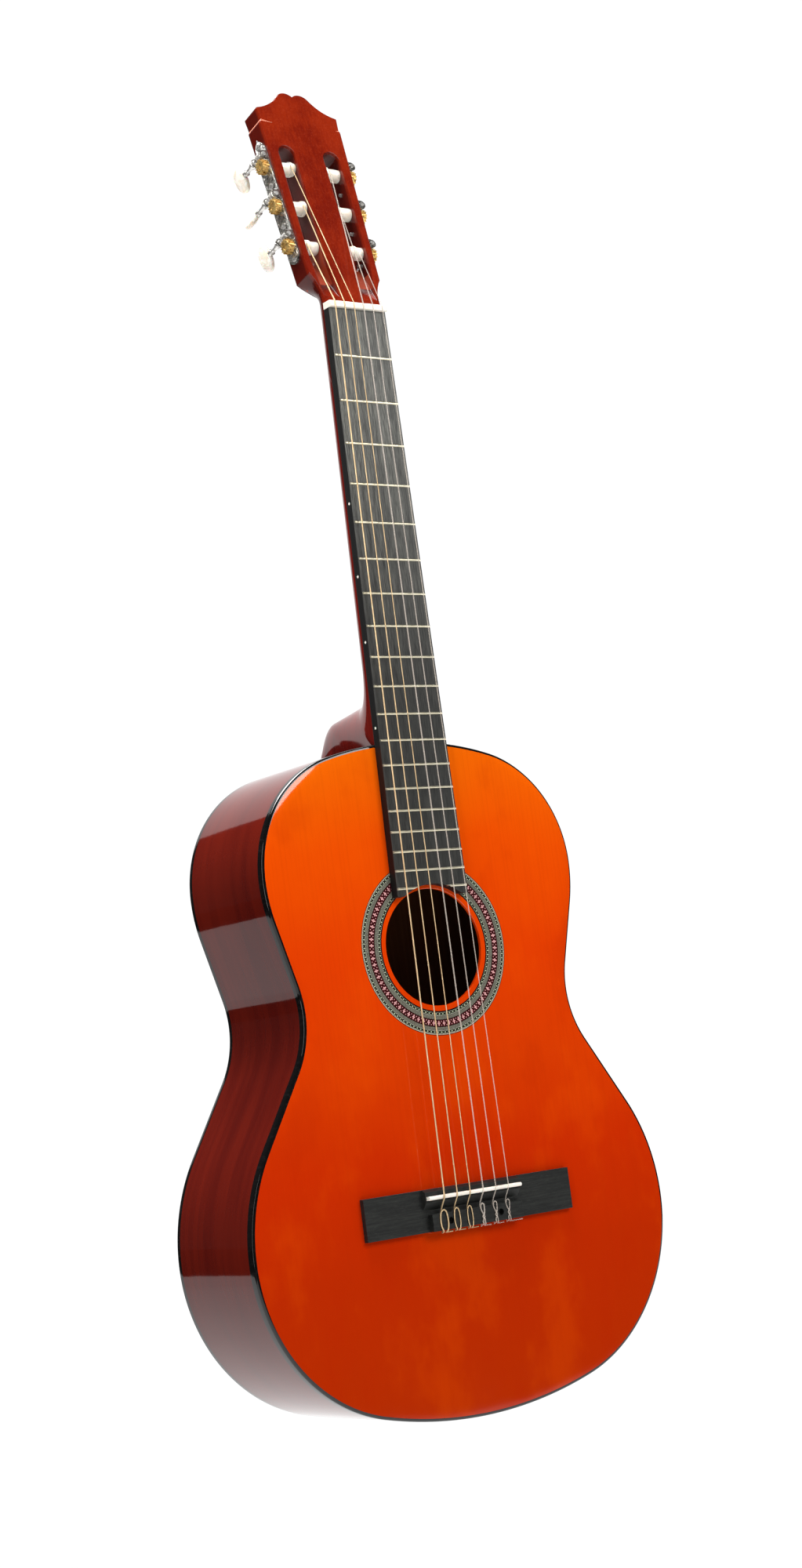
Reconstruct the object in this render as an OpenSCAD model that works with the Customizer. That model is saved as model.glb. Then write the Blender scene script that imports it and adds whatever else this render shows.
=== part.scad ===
// Classical guitar, hung upright: neck up (+Z), soundboard to the front (-Y),
// treble side to +X. The origin is where the two arms of a wall hanger hold it,
// on the centre line under the head's shoulders. Millimetres.

/* [Strings and neck] */
// Open string length from nut to saddle
scale_length = 650; // [640:5:660]
// Neck width at the nut
nut_width = 51; // [50:0.5:52]
// Neck width at the twelfth fret
width_at_12 = 60; // [59:0.5:61]
// Outer strings' spread at the nut
spread_nut = 43; // [42:0.5:44]
// Outer strings' spread at the saddle
spread_saddle = 58; // [57:0.5:59]
// Fingerboard thickness
board_t = 7; // [6.5:0.5:7.5]
// Neck depth behind the fingerboard, at the nut
shaft_depth = 15.2; // [15:0.1:15.6]
// Number of whole frets (one more is cut in two by the board's end)
whole_frets = 18; // [16:1:18]

/* [Body] */
// Body length
body_length = 483; // [478:1:488]
// Body depth from soundboard to back
body_depth = 100; // [98:1:102]
// Upper bout width
upper_bout = 278; // [274:2:282]
// Waist width
waist = 239; // [236:1:242]
// Lower bout width
lower_bout = 367; // [363:2:371]
// Height of the widest line of the upper bout
upper_z = 388; // [386:1:390]
// Height of the waist
waist_z = 293; // [291:1:295]
// Height of the widest line of the lower bout
lower_z = 132; // [131:1:133]
// Sound hole radius
hole_r = 42.5; // [42:0.5:43]
// Soundboard and back thickness
plate_t = 2.5; // [2.2:0.1:2.8]
// Side thickness, also the width of the edge binding
side_t = 2.2; // [2:0.1:2.4]
// Height of the front binding on the side
binding_h = 6.5; // [6:0.5:7]

/* [Bridge] */
// Bridge length
bridge_l = 184.5; // [182:0.5:187]
// Bridge width
bridge_w = 29.5; // [29:0.5:30]
// Thickness of the bridge's wings
wing_t = 4; // [3.5:0.5:4.5]
// Height of the saddle's top over the soundboard
saddle_h = 12.3; // [12:0.1:12.8]

/* [Head] */
// Backward tilt of the head
head_angle = 13.5; // [13:0.5:14]
// Head thickness
head_t = 18; // [17.5:0.5:18.5]
// Centre of the first rollers, from the nut
roller_first = 57.6; // [57:0.2:58]
// Distance between rollers
roller_pitch = 35; // [34.5:0.5:35]
// Depth of the roller axes under the head's face
roller_depth = 8.5; // [8.3:0.1:8.7]
// Roller radius
roller_r = 5; // [4.8:0.1:5]
// Half width of a string slot
slot_r = 7.4; // [7.2:0.1:7.5]

/* [Tuning machines] */
// Teeth on a gear
gear_teeth = 14; // [14]
// Distance between worm and gear axes
gear_gap = 8; // [8]
// Running clearance of the turning pieces
run = 0.05; // [0.03:0.01:0.08]
// Half length of a button, across its shaft
button_a = 11.3; // [11:0.1:11.6]
// Half height of a button, along its shaft
button_b = 6.7; // [6.5:0.1:7]
// Half thickness of a button
button_c = 3.3; // [3:0.1:3.6]

/* [Hidden] */
nut_z = body_length + scale_length / 2;
// The hanger's arms, above the nut line and behind the soundboard's plane
hang_up = 16;
hang_back = 9;
hole_z = nut_z - 475.8;
saddle_z = nut_z - scale_length - 2;
bridge_z = nut_z - 660.6;
head_rise = 4;
nut_t = 5;
back_w = -body_depth;
taper = (width_at_12 - nut_width) / scale_length;
board_end = nut_z - (hole_z + hole_r + 2.6);
string_r = [0.355, 0.41, 0.51, 0.38, 0.45, 0.55];
nylon = "#e6dcd8";
wound = "#b98a4a";
chrome = "#a9abac";
brass = "#b58a2c";
stain = "#6a120b";
black = "#1d1d1f";
spruce = "#c9a368";
cedar = "#9a6a42";

// ---------- body outline ----------
// Arc centres and radii, from the widest and narrowest lines
r_up = 88;
r_up2 = 113;
r_waist = 72;
r_low2 = 134;
r_low = 124;
c_up = [upper_bout / 2 - r_up, upper_z];
c_up2 = [upper_bout / 2 - r_up2, upper_z];
c_waist = [waist / 2 + r_waist, waist_z];
c_low2 = [lower_bout / 2 - r_low2, lower_z];
c_low = [lower_bout / 2 - r_low, lower_z];
r_top = let (h = body_length - c_up[1])
    (pow(c_up[0], 2) + h * h - r_up * r_up) / (2 * (h - r_up));
r_bottom = (pow(c_low[0], 2) + pow(c_low[1], 2) - r_low * r_low) / (2 * (c_low[1] - r_low));
a_top = atan2(c_up[1] - body_length + r_top, c_up[0]);
a_bottom = atan2(c_low[1] - r_bottom, c_low[0]);
// Angles at which the straight runs leave the bouts for the waist
function leave(c, r, s) = let (d = c_waist - c)
    atan2(d[1], d[0]) - s * acos((r + r_waist) / norm(d));
a_low = leave(c_low2, r_low2, 1);
a_up = leave(c_up2, r_up2, -1);

function arc(c, r, a0, a1, n) =
    [for (i = [0:n]) c + r * [cos(a0 + (a1 - a0) * i / n), sin(a0 + (a1 - a0) * i / n)]];

// Right half of the outline from top centre to bottom centre, set in by d
function half(d) = concat(
    arc([0, body_length - r_top], r_top - d, 90, a_top, 6),
    arc(c_up, r_up - d, a_top, 0, 20),
    arc(c_up2, r_up2 - d, 0, a_up, 5),
    arc(c_waist, r_waist + d, 180 + a_up, 180 + a_low, 14),
    arc(c_low2, r_low2 - d, a_low, 0, 9),
    arc(c_low, r_low - d, 0, a_bottom, 20),
    arc([0, r_bottom], r_bottom - d, a_bottom, -90, 5));
function tidy(p) = [for (i = [0:len(p) - 1]) if (i == 0 || norm(p[i] - p[i - 1]) > 0.01) p[i]];
function outline(d) = let (h = tidy(half(d)))
    concat(h, [for (i = [len(h) - 2:-1:1]) [-h[i][0], h[i][1]]]);

// Local frames: x across, y up the neck, z out of the soundboard
module on_top() translate([0, -hang_back, -nut_z - hang_up]) rotate([90, 0, 0]) children();
module on_neck() on_top() translate([0, nut_z, 0]) children();
module on_head() on_neck() translate([0, 0, head_rise]) rotate([-head_angle, 0, 0]) children();
module layer(w0, w1) translate([0, 0, w0]) linear_extrude(w1 - w0) children();
module inside(d) polygon(outline(d));
module ring2d(d0, d1) difference() {
    inside(d0);
    inside(d1);
}
module box(x0, x1, y0, y1, z0, z1) translate([x0, y0, z0]) cube([x1 - x0, y1 - y0, z1 - z0]);

// ---------- body ----------
lining_d = 8;
block_half = 34;
neck_block_z = 452;
tail_block_z = 18;

module soundboard() color("#d8480c") on_top() difference() {
    layer(-plate_t, 0) inside(side_t);
    translate([0, hole_z, -plate_t - 1]) cylinder(h = plate_t + 2, r = hole_r, $fn = 96);
    translate([0, hole_z, -1]) difference() {
        cylinder(h = 2, r = 64, $fn = 96);
        translate([0, 0, -1]) cylinder(h = 4, r = 47.4, $fn = 96);
    }
    bolt_holes(-plate_t - 1, 1);
}

// The inlaid rings around the sound hole
module rosette() color("#5a2420") on_top() translate([0, hole_z, -1]) difference() {
    cylinder(h = 1, r = 64, $fn = 96);
    translate([0, 0, -1]) cylinder(h = 3, r = 47.4, $fn = 96);
}

module back() color(stain) on_top() layer(back_w, back_w + plate_t) inside(side_t);

module side_half(s) on_top() intersection() {
    layer(back_w + 5, -binding_h) ring2d(0, side_t);
    box(s < 0 ? -250 : 0, s < 0 ? 0 : 250, -10, body_length + 10, back_w, 0);
}
module bass_side() color(stain) side_half(-1);
module treble_side() color(stain) side_half(1);

module top_binding() color(black) on_top() layer(-binding_h, 0) ring2d(0, side_t);
module back_binding() color(black) on_top() layer(back_w, back_w + 5) ring2d(0, side_t);

module lining(w0, w1) on_top() difference() {
    layer(w0, w1) ring2d(side_t, lining_d);
    box(-block_half, block_half, -5, tail_block_z, w0 - 1, w1 + 1);
    box(-block_half, block_half, neck_block_z, body_length, w0 - 1, w1 + 1);
}
module top_linings() color(cedar) lining(-15, -plate_t);
module back_linings() color(cedar) lining(back_w + plate_t, back_w + 15);

module block(y0, y1) on_top() intersection() {
    layer(back_w + plate_t, -plate_t) inside(side_t);
    box(-block_half, block_half, y0, y1, back_w, 0);
}
module neck_block() color(cedar) block(neck_block_z, body_length + 5);
module tail_block() color(cedar) block(-5, tail_block_z);

// Seven fan braces below the sound hole, spread over the lower bout
module fan_braces() color(spruce) on_top() difference() {
    for (i = [-3:3]) translate([i * 24, 250, 0]) rotate([0, 0, 4.6 * i])
        box(-2.5, 2.5, -208 + 9 * abs(i), 0, -plate_t - 5, -plate_t);
    bridge_patch_box(0);
}
module bridge_patch_box(g)
    box(-96 - g, 96 + g, bridge_z - 17 - g, bridge_z + 15 + g, -plate_t - 2.5, -plate_t);
module bridge_patch() color(cedar) on_top() difference() {
    bridge_patch_box(0);
    bolt_holes(-plate_t - 4, 0);
}

// Bars across the soundboard, above and below the sound hole
module harmonic_bars() color(spruce) on_top() intersection() {
    layer(-20, -plate_t) inside(lining_d);
    union() {
        box(-200, 200, 254, 262, -20, 0);
        box(-200, 200, 398, 406, -20, 0);
    }
}
module back_braces() color(spruce) on_top() intersection() {
    layer(back_w + plate_t, back_w + 16) inside(lining_d);
    union() for (z = [108, 262, 400]) box(-200, 200, z - 4, z + 4, back_w, 0);
}
module back_strip() color(spruce) on_top() difference() {
    box(-9, 9, tail_block_z, neck_block_z, back_w + plate_t, back_w + plate_t + 2);
    for (z = [108, 262, 400]) box(-10, 10, z - 4, z + 4, back_w, 0);
}

// ---------- bridge ----------
tie_y0 = bridge_z - bridge_w / 2;
tie_y1 = tie_y0 + 12;
block_half_l = 42.5;
bolt_y = tie_y0 + 6;

module bolt_holes(z0, z1) for (x = [-22.5, 22.5])
    translate([x, bolt_y, z0]) cylinder(h = z1 - z0, r = 1.6, $fn = 32);

function u_nut(i) = spread_nut / 2 - spread_nut * i / 5;
function u_saddle(i) = spread_saddle / 2 - spread_saddle * i / 5;

module bridge() color(black) on_top() difference() {
    union() {
        // Wings and the flat under the middle
        box(-bridge_l / 2, bridge_l / 2, tie_y0, bridge_z + bridge_w / 2, 0, wing_t);
        // Saddle part, sloping down to the front
        translate([-block_half_l, 0, 0]) rotate([90, 0, 90]) linear_extrude(2 * block_half_l)
            polygon([[tie_y1 + 3.2, 1], [bridge_z + bridge_w / 2, 1], [bridge_z + bridge_w / 2, 5.2],
                [saddle_z + 4.5, 8.4], [saddle_z - 3, 8.6], [tie_y1 + 3.2, wing_t]]);
        // Tie block
        box(-38.5, block_half_l, tie_y0, tie_y1, 1, 8.8);
    }
    // Saddle slot
    box(-41.6, 41.6, saddle_z - 1.4, saddle_z + 1.4, 5, 12);
    // String holes through the tie block
    for (i = [0:5]) translate([u_saddle(i), tie_y1 + 1, 6.3]) rotate([93, 0, 0])
        cylinder(h = 16, r = 0.95, $fn = 24);
    // Bolt holes and their counterbores
    bolt_holes(-1, 12);
    for (x = [-22.5, 22.5]) translate([x, bolt_y, 5.6]) cylinder(h = 5, r = 2.4, $fn = 32);
}

// Two bolts that clamp the bridge through the soundboard, with nuts inside
module bridge_bolts() color(chrome) on_top() for (x = [-22.5, 22.5]) translate([x, bolt_y, 0]) {
    translate([0, 0, -11]) cylinder(h = 16.6, r = 1.5, $fn = 32);
    translate([0, 0, 5.6]) difference() {
        cylinder(h = 1.6, r = 2.3, $fn = 32);
        translate([0, 0, 0.8]) cylinder(h = 2, r = 1.2, $fn = 6);
    }
    translate([0, 0, -plate_t - 5]) cylinder(h = 2.5, r = 3.2, $fn = 6);
}

module saddle() color("#efece4") on_top() translate([-41.5, 0, 0]) rotate([90, 0, 90])
    linear_extrude(83)
        polygon(concat([[saddle_z - 1.35, 5.02], [saddle_z + 1.35, 5.02]],
            arc([saddle_z, saddle_h - 1.35], 1.35, 0, 180, 10)));

// ---------- neck ----------
function half_w(v) = nut_width / 2 + taper * max(-v, 0);
function depth(v) = shaft_depth - 0.0045 * min(v, 0);
// Roundness of the shaft's cross-section: half width at depth fraction t
function round_d(t) = pow(max(0, 1 - pow(min(max(t, 0), 1), 2.3)), 0.5);
// The scarf joint is in the plane of the head's back
function scarf(v) = head_rise - v * tan(head_angle) - head_t / cos(head_angle);
scarf_top = (head_rise - head_t / cos(head_angle)) / tan(head_angle);
scarf_low = (head_rise - head_t / cos(head_angle) + shaft_depth) / tan(head_angle);
joint_v = body_length - nut_z;
heel_v = -268;
heel_r = 22;
foot_r = 18;
heel_a = 84;
heel_run = body_depth - 2 - depth(heel_v) - (heel_r + foot_r) * (1 - cos(heel_a));

// Skin of a piece that is symmetric across x. Each row is one section, as
// points [half width, y, z] from the front to the back.
module skin(rows) {
    m = len(rows[0]);
    n = len(rows);
    pts = [for (r = rows) each concat(r, [for (j = [m - 1:-1:0]) [-r[j][0], r[j][1], r[j][2]]])];
    w = 2 * m;
    sides = [for (i = [0:n - 2]) for (j = [0:w - 1]) let (k = (j + 1) % w)
        each [[i * w + j, (i + 1) * w + k, i * w + k], [i * w + j, (i + 1) * w + j, (i + 1) * w + k]]];
    ends = [for (j = [0:m - 2]) each [
        [j, j + 1, w - 2 - j], [j, w - 2 - j, w - 1 - j],
        [(n - 1) * w + j + 1, (n - 1) * w + j, (n - 1) * w + w - 2 - j],
        [(n - 1) * w + w - 2 - j, (n - 1) * w + j, (n - 1) * w + w - 1 - j]]];
    polyhedron(pts, concat(sides, ends), convexity = 6);
}

neck_m = 10;
function neck_row(o, p, a, flat) = [for (j = [0:neck_m])
    let (t = pow(sin(90 * j / neck_m), 2 / 2.3),
        q = o + t * (p - o), b = flat ? half_w(q[0]) : a)
    [max(b * cos(90 * j / neck_m), 0.3), q[0], q[1]]];
// Heel: a hollow curve out of the shaft, a straight run, then a rounded foot
heel_c = [heel_v, -depth(heel_v) - heel_r];
heel_p = heel_c + heel_r * [-sin(heel_a), cos(heel_a)];
heel_q = heel_p + heel_run * [-1 / tan(heel_a), -1];
foot_c = heel_q + foot_r * [-sin(heel_a), cos(heel_a)];
function heel_half(w) = 13.5 + (half_w(joint_v) - 13.5) * pow(1 - min(-w / body_depth, 1), 1.6);
neck_rows = concat(
    [for (i = [0:7]) let (v = scarf_top + (-110 - scarf_top) * i / 7,
        q = scarf_low + (-110 - scarf_low) * i / 7)
        neck_row([v, 0], [q, -depth(q)], 0, true)],
    [for (v = [-150, -200, -245, -260]) neck_row([v, 0], [v, -depth(v)], 0, true)],
    [for (i = [0:9]) let (v = -270 + (joint_v - 2 + 270) * i / 9, f = heel_a * i / 9)
        neck_row([v, 0], heel_c + heel_r * [-sin(f), cos(f)], half_w(v), false)],
    [for (i = [1:4]) let (w = -11 * i)
        neck_row([joint_v - 2, w], heel_p + (heel_q - heel_p) * i / 4, heel_half(w), false)],
    [for (i = [1:8]) let (w = -44 - 46 * i / 8, f = 180 + heel_a - heel_a * i / 8)
        neck_row([joint_v - 2, w], foot_c + foot_r * [-sin(f), cos(f)], heel_half(w), false)],
    [neck_row([joint_v - 2, -94], [joint_v - 0.2, foot_c[1] - foot_r], heel_half(-94), false)]);

module neck() color(stain) difference() {
    on_neck() skin(neck_rows);
    on_top() layer(back_w - 5, 5) inside(0);
}

// ---------- head ----------
side_slope = 0.0345;
shoulder_s = 30;
shoulder_r = 36;
function head_vw(s, o) = [s * cos(head_angle) + o * sin(head_angle),
    head_rise - s * sin(head_angle) + o * cos(head_angle)];
shoulder_x = nut_width / 2 + shoulder_r - sqrt(pow(shoulder_r, 2) - pow(shoulder_s - 9, 2));
function side_x(s) = shoulder_x + (s - shoulder_s) * side_slope;
// Half width of the head and neck front, s from the nut along the head
function front_half(s) = s < 9 ? half_w(s)
    : nut_width / 2 + shoulder_r - sqrt(pow(shoulder_r, 2) - pow(min(s, shoulder_s) - 9, 2));
function ease(x) = x * x * (3 - 2 * x);

// Lower end of the head, where the neck's round back turns into the flat head
head_m = 12;
function head_row(o, p, so, e) = [for (j = [0:head_m])
    let (f = sin(90 * j / head_m), q = o + f * (p - o),
        t = (-q[1] / depth(q[0])) * (1 - e) + f * e,
        a = front_half(so < 3 ? q[0] : so))
    [max(a * (round_d(t) * (1 - ease(e)) + ease(e)), 0.3), q[0], q[1]]];
head_rows = concat(
    [for (i = [0:9]) let (v = scarf_top + (scarf_low - scarf_top) * i / 9)
        head_row([v, 3.2], [v, scarf(v)], v, 0)],
    [for (i = [1:9]) let (s0 = scarf_low, s1 = 7.3,
        so = s0 + (shoulder_s - s0) * i / 9, sp = s1 + (shoulder_s - s1) * i / 9)
        head_row(head_vw(so, 0), head_vw(sp, -head_t), so, i / 9)]);

// Crown: two lobes with a notch between, hollow shoulders and square corners
lobe_c = [6.6, 183.3];
lobe_r = 10;
hollow_c = [44, 213.4];
hollow_r = norm(hollow_c - lobe_c) - lobe_r;
hollow_a = atan2(lobe_c[1] - hollow_c[1], lobe_c[0] - hollow_c[0]);
corner_x = 36.7;
function head_half() = concat(
    [[side_x(shoulder_s - 0.1), shoulder_s - 0.1], [side_x(163.6), 163.6],
        [side_x(165) - 1.1, 165.2], [corner_x, 174.6]],
    arc(hollow_c, hollow_r, -acos((corner_x - hollow_c[0]) / hollow_r), hollow_a, 10),
    arc(lobe_c, lobe_r, hollow_a + 180, 180 - acos(lobe_c[0] / lobe_r), 12));
module head_outline() {
    h = head_half();
    polygon(concat(h, [for (i = [len(h) - 1:-1:0]) [-h[i][0], h[i][1]]]));
}

slot_x = 20.5;
slot_s0 = 44;
slot_s1 = 143.6;
ramp_s = 11;
module slot_cut(x) {
    for (s = [slot_s0 + slot_r, slot_s1 - slot_r])
        translate([x, s, -head_t - 6]) cylinder(h = head_t + 12, r = slot_r, $fn = 48);
    box(x - slot_r, x + slot_r, slot_s0 + slot_r, slot_s1 - slot_r, -head_t - 6, 6);
    // Ramp that clears the strings down to the nut, narrowing beside the head's edge
    s = sign(x);
    intersection() {
        translate([x - slot_r - 6, ramp_s, 0]) rotate([-21, 0, 0]) cube([2 * slot_r + 12, 44, 20]);
        layer(-head_t, 6) polygon([[s * 27.9, 52], [s * 27.5, 44], [s * 23.6, ramp_s - 2],
            [s * 10.5, ramp_s - 2], [s * 13.1, 44], [s * 13.1, 52]]);
    }
}

// Frame of the tuning machines: x out of the head's side, y along it towards
// the tip, z out of the head's face; z = 0 is the roller axes' plane
side_angle = atan(side_slope);
module on_side(s) on_head() mirror([s < 0 ? 1 : 0, 0, 0])
    translate([side_x(0), 0, -roller_depth]) rotate([0, 0, -side_angle]) children();
function roller_y(k) = (roller_first + roller_pitch * k) / cos(side_angle);
module along_x(x0, x1, r, f = 48) translate([x0, 0, 0]) rotate([0, 90, 0])
    cylinder(h = x1 - x0, r = r, $fn = f);
screw_y = [roller_y(0) - 9.5, roller_y(0) + 19, roller_y(1) + 19, roller_y(2) + 19.5];

module headstock() color("#8c2010") difference() {
    union() {
        on_neck() skin(head_rows);
        on_head() layer(-head_t, 0) head_outline();
    }
    // Seat of the nut and fingerboard
    on_neck() box(-40, 40, -80, nut_t, 0, 12);
    on_head() slot_cut(slot_x);
    on_head() slot_cut(-slot_x);
    for (s = [-1, 1]) on_side(s) {
        for (k = [0:2]) translate([0, roller_y(k), 0]) along_x(-28.4, 3, roller_r + run);
        for (y = screw_y) translate([0, y, -1.3]) along_x(-9, 1, 1.25, 24);
    }
}

// ---------- fingerboard ----------
function fret_v(k) = -scale_length * (1 - pow(2, -k / 12));
function fret_half(k) = half_w(fret_v(k));

module fretboard() color("#2a2a2b") on_neck() difference() {
    translate([0, 0, 0]) linear_extrude(board_t) polygon([
        [half_w(0), 0], [half_w(-board_end - 8), -board_end - 8],
        [-half_w(-board_end - 8), -board_end - 8], [-half_w(0), 0]]);
    translate([0, hole_z - nut_z, -1]) cylinder(h = board_t + 2, r = hole_r + 2.6, $fn = 96);
    for (k = [1:whole_frets + 1])
        box(-fret_half(k) + 1.4, fret_half(k) - 1.4, fret_v(k) - 0.32, fret_v(k) + 0.32, board_t - 2.3,
            board_t + 1);
    for (d = dots) dot(d, 0.02);
}

dots = [5, 7, 9, 12];
module dot(k, g) let (v = (fret_v(k) + fret_v(k - 1)) / 2)
    translate([-half_w(v) - (g > 0 ? 1 : 0.02), v, board_t / 2]) rotate([0, 90, -atan(taper)])
        cylinder(h = g > 0 ? 2.52 : 1.5, r = 1 + g, $fn = 32);
module side_dots() color("#efece4") on_neck() for (k = dots) dot(k, 0);

fret_form = [[-0.9, 0], [0.9, 0], [0.84, 0.42], [0.6, 0.76], [0.24, 0.95],
    [-0.24, 0.95], [-0.6, 0.76], [-0.84, 0.42]];
module fret_bar(v, b) {
    translate([-b, v, board_t]) rotate([90, 0, 90]) linear_extrude(2 * b) polygon(fret_form);
    box(-b + 1.5, b - 1.5, v - 0.3, v + 0.3, board_t - 2.2, board_t + 0.1);
}
module frets() color("#c8bd8c") on_neck() difference() {
    for (k = [1:whole_frets + 1]) fret_bar(fret_v(k), fret_half(k) - 0.05);
    // Bevelled ends
    for (s = [-1, 1]) translate([s * half_w(0), 0, board_t]) rotate([0, 0, s * atan(taper)])
        rotate([0, -s * 30, 0]) box(s < 0 ? -6 : 0, s < 0 ? 0 : 6, -450, 5, 0.001, 5);
    // The last fret is cut by the end of the board
    translate([0, hole_z - nut_z, board_t - 4]) cylinder(h = 8, r = hole_r + 2.7, $fn = 96);
}

module nut() color("#efece4") on_neck() difference() {
    translate([-nut_width / 2, 0, 0]) rotate([90, 0, 90]) linear_extrude(nut_width)
        polygon([[0, 0], [nut_t, 0], [nut_t, 8.6], [3.9, 9.6], [0.6, 9.8], [0, 9.4]]);
    for (i = [0:5]) translate([u_nut(i), -1, 9.9 + string_r[i] * 0.2]) rotate([-90 - 4, 0, 0])
        cylinder(h = 8, r = string_r[i] + 0.05, $fn = 24);
}

// ---------- strings ----------
// Strings are numbered from the treble side: 1 is the thinnest
nut_string_w = 9.9;
function unit(v) = v / norm(v);
function lean(t, n) = unit(n - t * (n * t));
function dir_at(p, i) = unit(p[min(i + 1, len(p) - 1)] - p[max(i - 1, 0)]);
function normals(p, n, i = 0) = i == len(p) ? []
    : let (m = lean(dir_at(p, i), n)) concat([m], normals(p, m, i + 1));
module tube(p, r, f = 8) {
    ns = normals(p, [0.1, 0.2, 1]);
    pts = [for (i = [0:len(p) - 1]) let (t = dir_at(p, i), n = ns[i], b = cross(t, n))
        for (j = [0:f - 1]) p[i] + r * (cos(360 * j / f) * n + sin(360 * j / f) * b)];
    n = len(p);
    polyhedron(pts, concat([[for (j = [f - 1:-1:0]) j]],
        [for (i = [0:n - 2]) for (j = [0:f - 1]) let (k = (j + 1) % f)
            each [[i * f + j, i * f + k, (i + 1) * f + k], [i * f + j, (i + 1) * f + k, (i + 1) * f + j]]],
        [[for (j = [0:f - 1]) (n - 1) * f + j]]), convexity = 8);
}

// Which machine a string goes to, and where on its roller it is wound
function roller_of(i) = i < 3 ? i : 5 - i;
function wind_x(i) = [22.5, 16.8, 18, 18, 17, 24.4][i];
function side_of(i) = i < 3 ? 1 : -1;
// Point on a roller's axis, in the head's frame, at distance x from the centre
function axis_pt(i) = let (y = roller_y(roller_of(i)),
    q = (wind_x(i) - side_x(0) - y * sin(side_angle)) / cos(side_angle))
    [side_of(i) * wind_x(i), y * cos(side_angle) - q * sin(side_angle), -roller_depth];
function head_pt(p) = let (q = head_vw(p[1], p[2])) [p[0], q[0], q[1]];

function string_path(i) = let (r = string_r[i], u = u_saddle(i), un = u_nut(i),
    sv = saddle_z - nut_z, tb = tie_y0 - nut_z, tf = tie_y1 - nut_z,
    e = head_pt(axis_pt(i) + [0, 0, roller_r + r + 0.25]))
    [
        e,
        [un, nut_t, nut_string_w - 0.42 + r * 0.2],
        [un, 1, nut_string_w - 0.14 + r * 0.2],
        [u, sv, saddle_h + r],
        [u, sv - 1.2, saddle_h + r - 0.5],
        [u, tf + 0.8, 6.4],
        [u, tb - 0.5, 5.5],
        [u - 0.5, tb - 1.3, 5.8],
        [u - 1.6, tb - 1.4, 7.8],
        [u - 2, tb - 0.4, 8.85 + r],
        [u - 2, tb + 2, 8.85 + r],
        [u - 2, tf - 1, 8.85 + r],
        [u - 1.7, tf + 0.9, 9 + r],
        [u, tf + 2.2, 9.3 + r],
        [u + 1.7, tf + 0.9, 9 + r],
        [u + 2, tf - 1, 8.85 + r],
        [u + 2, tb + 2, 8.85 + r],
        [u + 2.1, tb - 0.4, 8.85 + r],
        [u + 2.4, tb - 1.4, 7.4],
        [u + 3.6, tb - 1.5, 5],
        [u + 8.6, tb - 1.5, 4.4]
    ];
module string(i) on_neck() tube(string_path(i), string_r[i]);
module string_1() color(nylon) string(0);
module string_2() color(nylon) string(1);
module string_3() color(nylon) string(2);
module string_4() color(wound) string(3);
module string_5() color(wound) string(4);
module string_6() color(wound) string(5);

// ---------- tuning machines ----------
plate_z0 = -8.2;
plate_z1 = 5.6;
gear_x = 4.6;
worm_r = 1.6;
worm_root = 2;
worm_tip = 3.1;
gear_root = 4.75;
gear_tip = 5.9;
thread_p = 2 * PI * 5.4 / gear_teeth;

module plate_outline() {
    a = roller_y(0) - 13.3;
    b = roller_y(2) + 16;
    m = (plate_z0 + plate_z1) / 2;
    h = (plate_z1 - plate_z0) / 2;
    // Rounded lower end, long body, and a pointed upper end with side curls
    translate([a + h, m]) circle(r = h, $fn = 48);
    translate([a + h, plate_z0]) square([b - a - h, 2 * h]);
    translate([b + 1, m]) circle(r = 5.2, $fn = 32);
    polygon([[b + 2, m - 4.2], [b + 8.2, m - 0.6], [b + 8.8, m], [b + 8.2, m + 0.6], [b + 2, m + 4.2]]);
}

module tuner_plate(s) on_side(s) difference() {
    union() {
        rotate([90, 0, 90]) linear_extrude(1.2) plate_outline();
        for (k = [0:2], z = [plate_z0, plate_z1 - 1.3]) translate([0, roller_y(k) + gear_gap, z]) {
            box(0.6, gear_x, -3.6, 3.6, 0, 1.3);
            translate([gear_x, 0, 0]) cylinder(h = 1.3, r = 3.6, $fn = 40);
        }
    }
    for (k = [0:2]) {
        translate([0, roller_y(k), 0]) along_x(-1, 3, 3 + run);
        translate([gear_x, roller_y(k) + gear_gap, plate_z0 - 1])
            cylinder(h = 20, r = worm_r + run, $fn = 40);
    }
    for (y = screw_y) translate([0, y, -1.3]) along_x(-1, 3, 1.3, 24);
}
module tuner_plate_bass() color(chrome) tuner_plate(-1);
module tuner_plate_treble() color(chrome) tuner_plate(1);

module screw() difference() {
    union() {
        along_x(-8.5, 1.3, 1.2, 24);
        intersection() {
            along_x(1.2, 2.4, 2.4, 32);
            translate([-1.6, 0, 0]) sphere(r = 4, $fn = 48);
        }
    }
    box(1.9, 4, -0.35, 0.35, -3, 3);
}
module plate_screws() color(chrome) for (s = [-1, 1], y = screw_y)
    on_side(s) translate([0, y, -1.3]) screw();

module gear(s, k) color(brass) on_side(s) translate([0, roller_y(k), 0]) {
    difference() {
        union() {
            along_x(gear_x - 2.75, gear_x + 2.75, gear_root);
            along_x(-5.2, gear_x, 3);
            for (i = [0:gear_teeth - 1]) rotate([360 / gear_teeth * i, 0, 0])
                translate([gear_x, gear_root - 0.5, 0]) rotate([0, 8, 0])
                    rotate([-90, 0, 0]) linear_extrude(gear_tip - gear_root + 0.5, scale = 1)
                        square([5.4, 0.62], center = true);
        }
        along_x(gear_x + 1.4, gear_x + 4, 2.7, 32);
        along_x(-4, gear_x + 4, 1.45, 24);
    }
    // Screw that holds the gear on the roller's end
    difference() {
        union() {
            along_x(-3.8, gear_x + 1.5, 1.4, 24);
            along_x(gear_x + 1.4, gear_x + 2.5, 2.5, 32);
        }
        translate([gear_x + 1.9, -3, -0.35]) cube([2, 6, 0.7]);
    }
}

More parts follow.
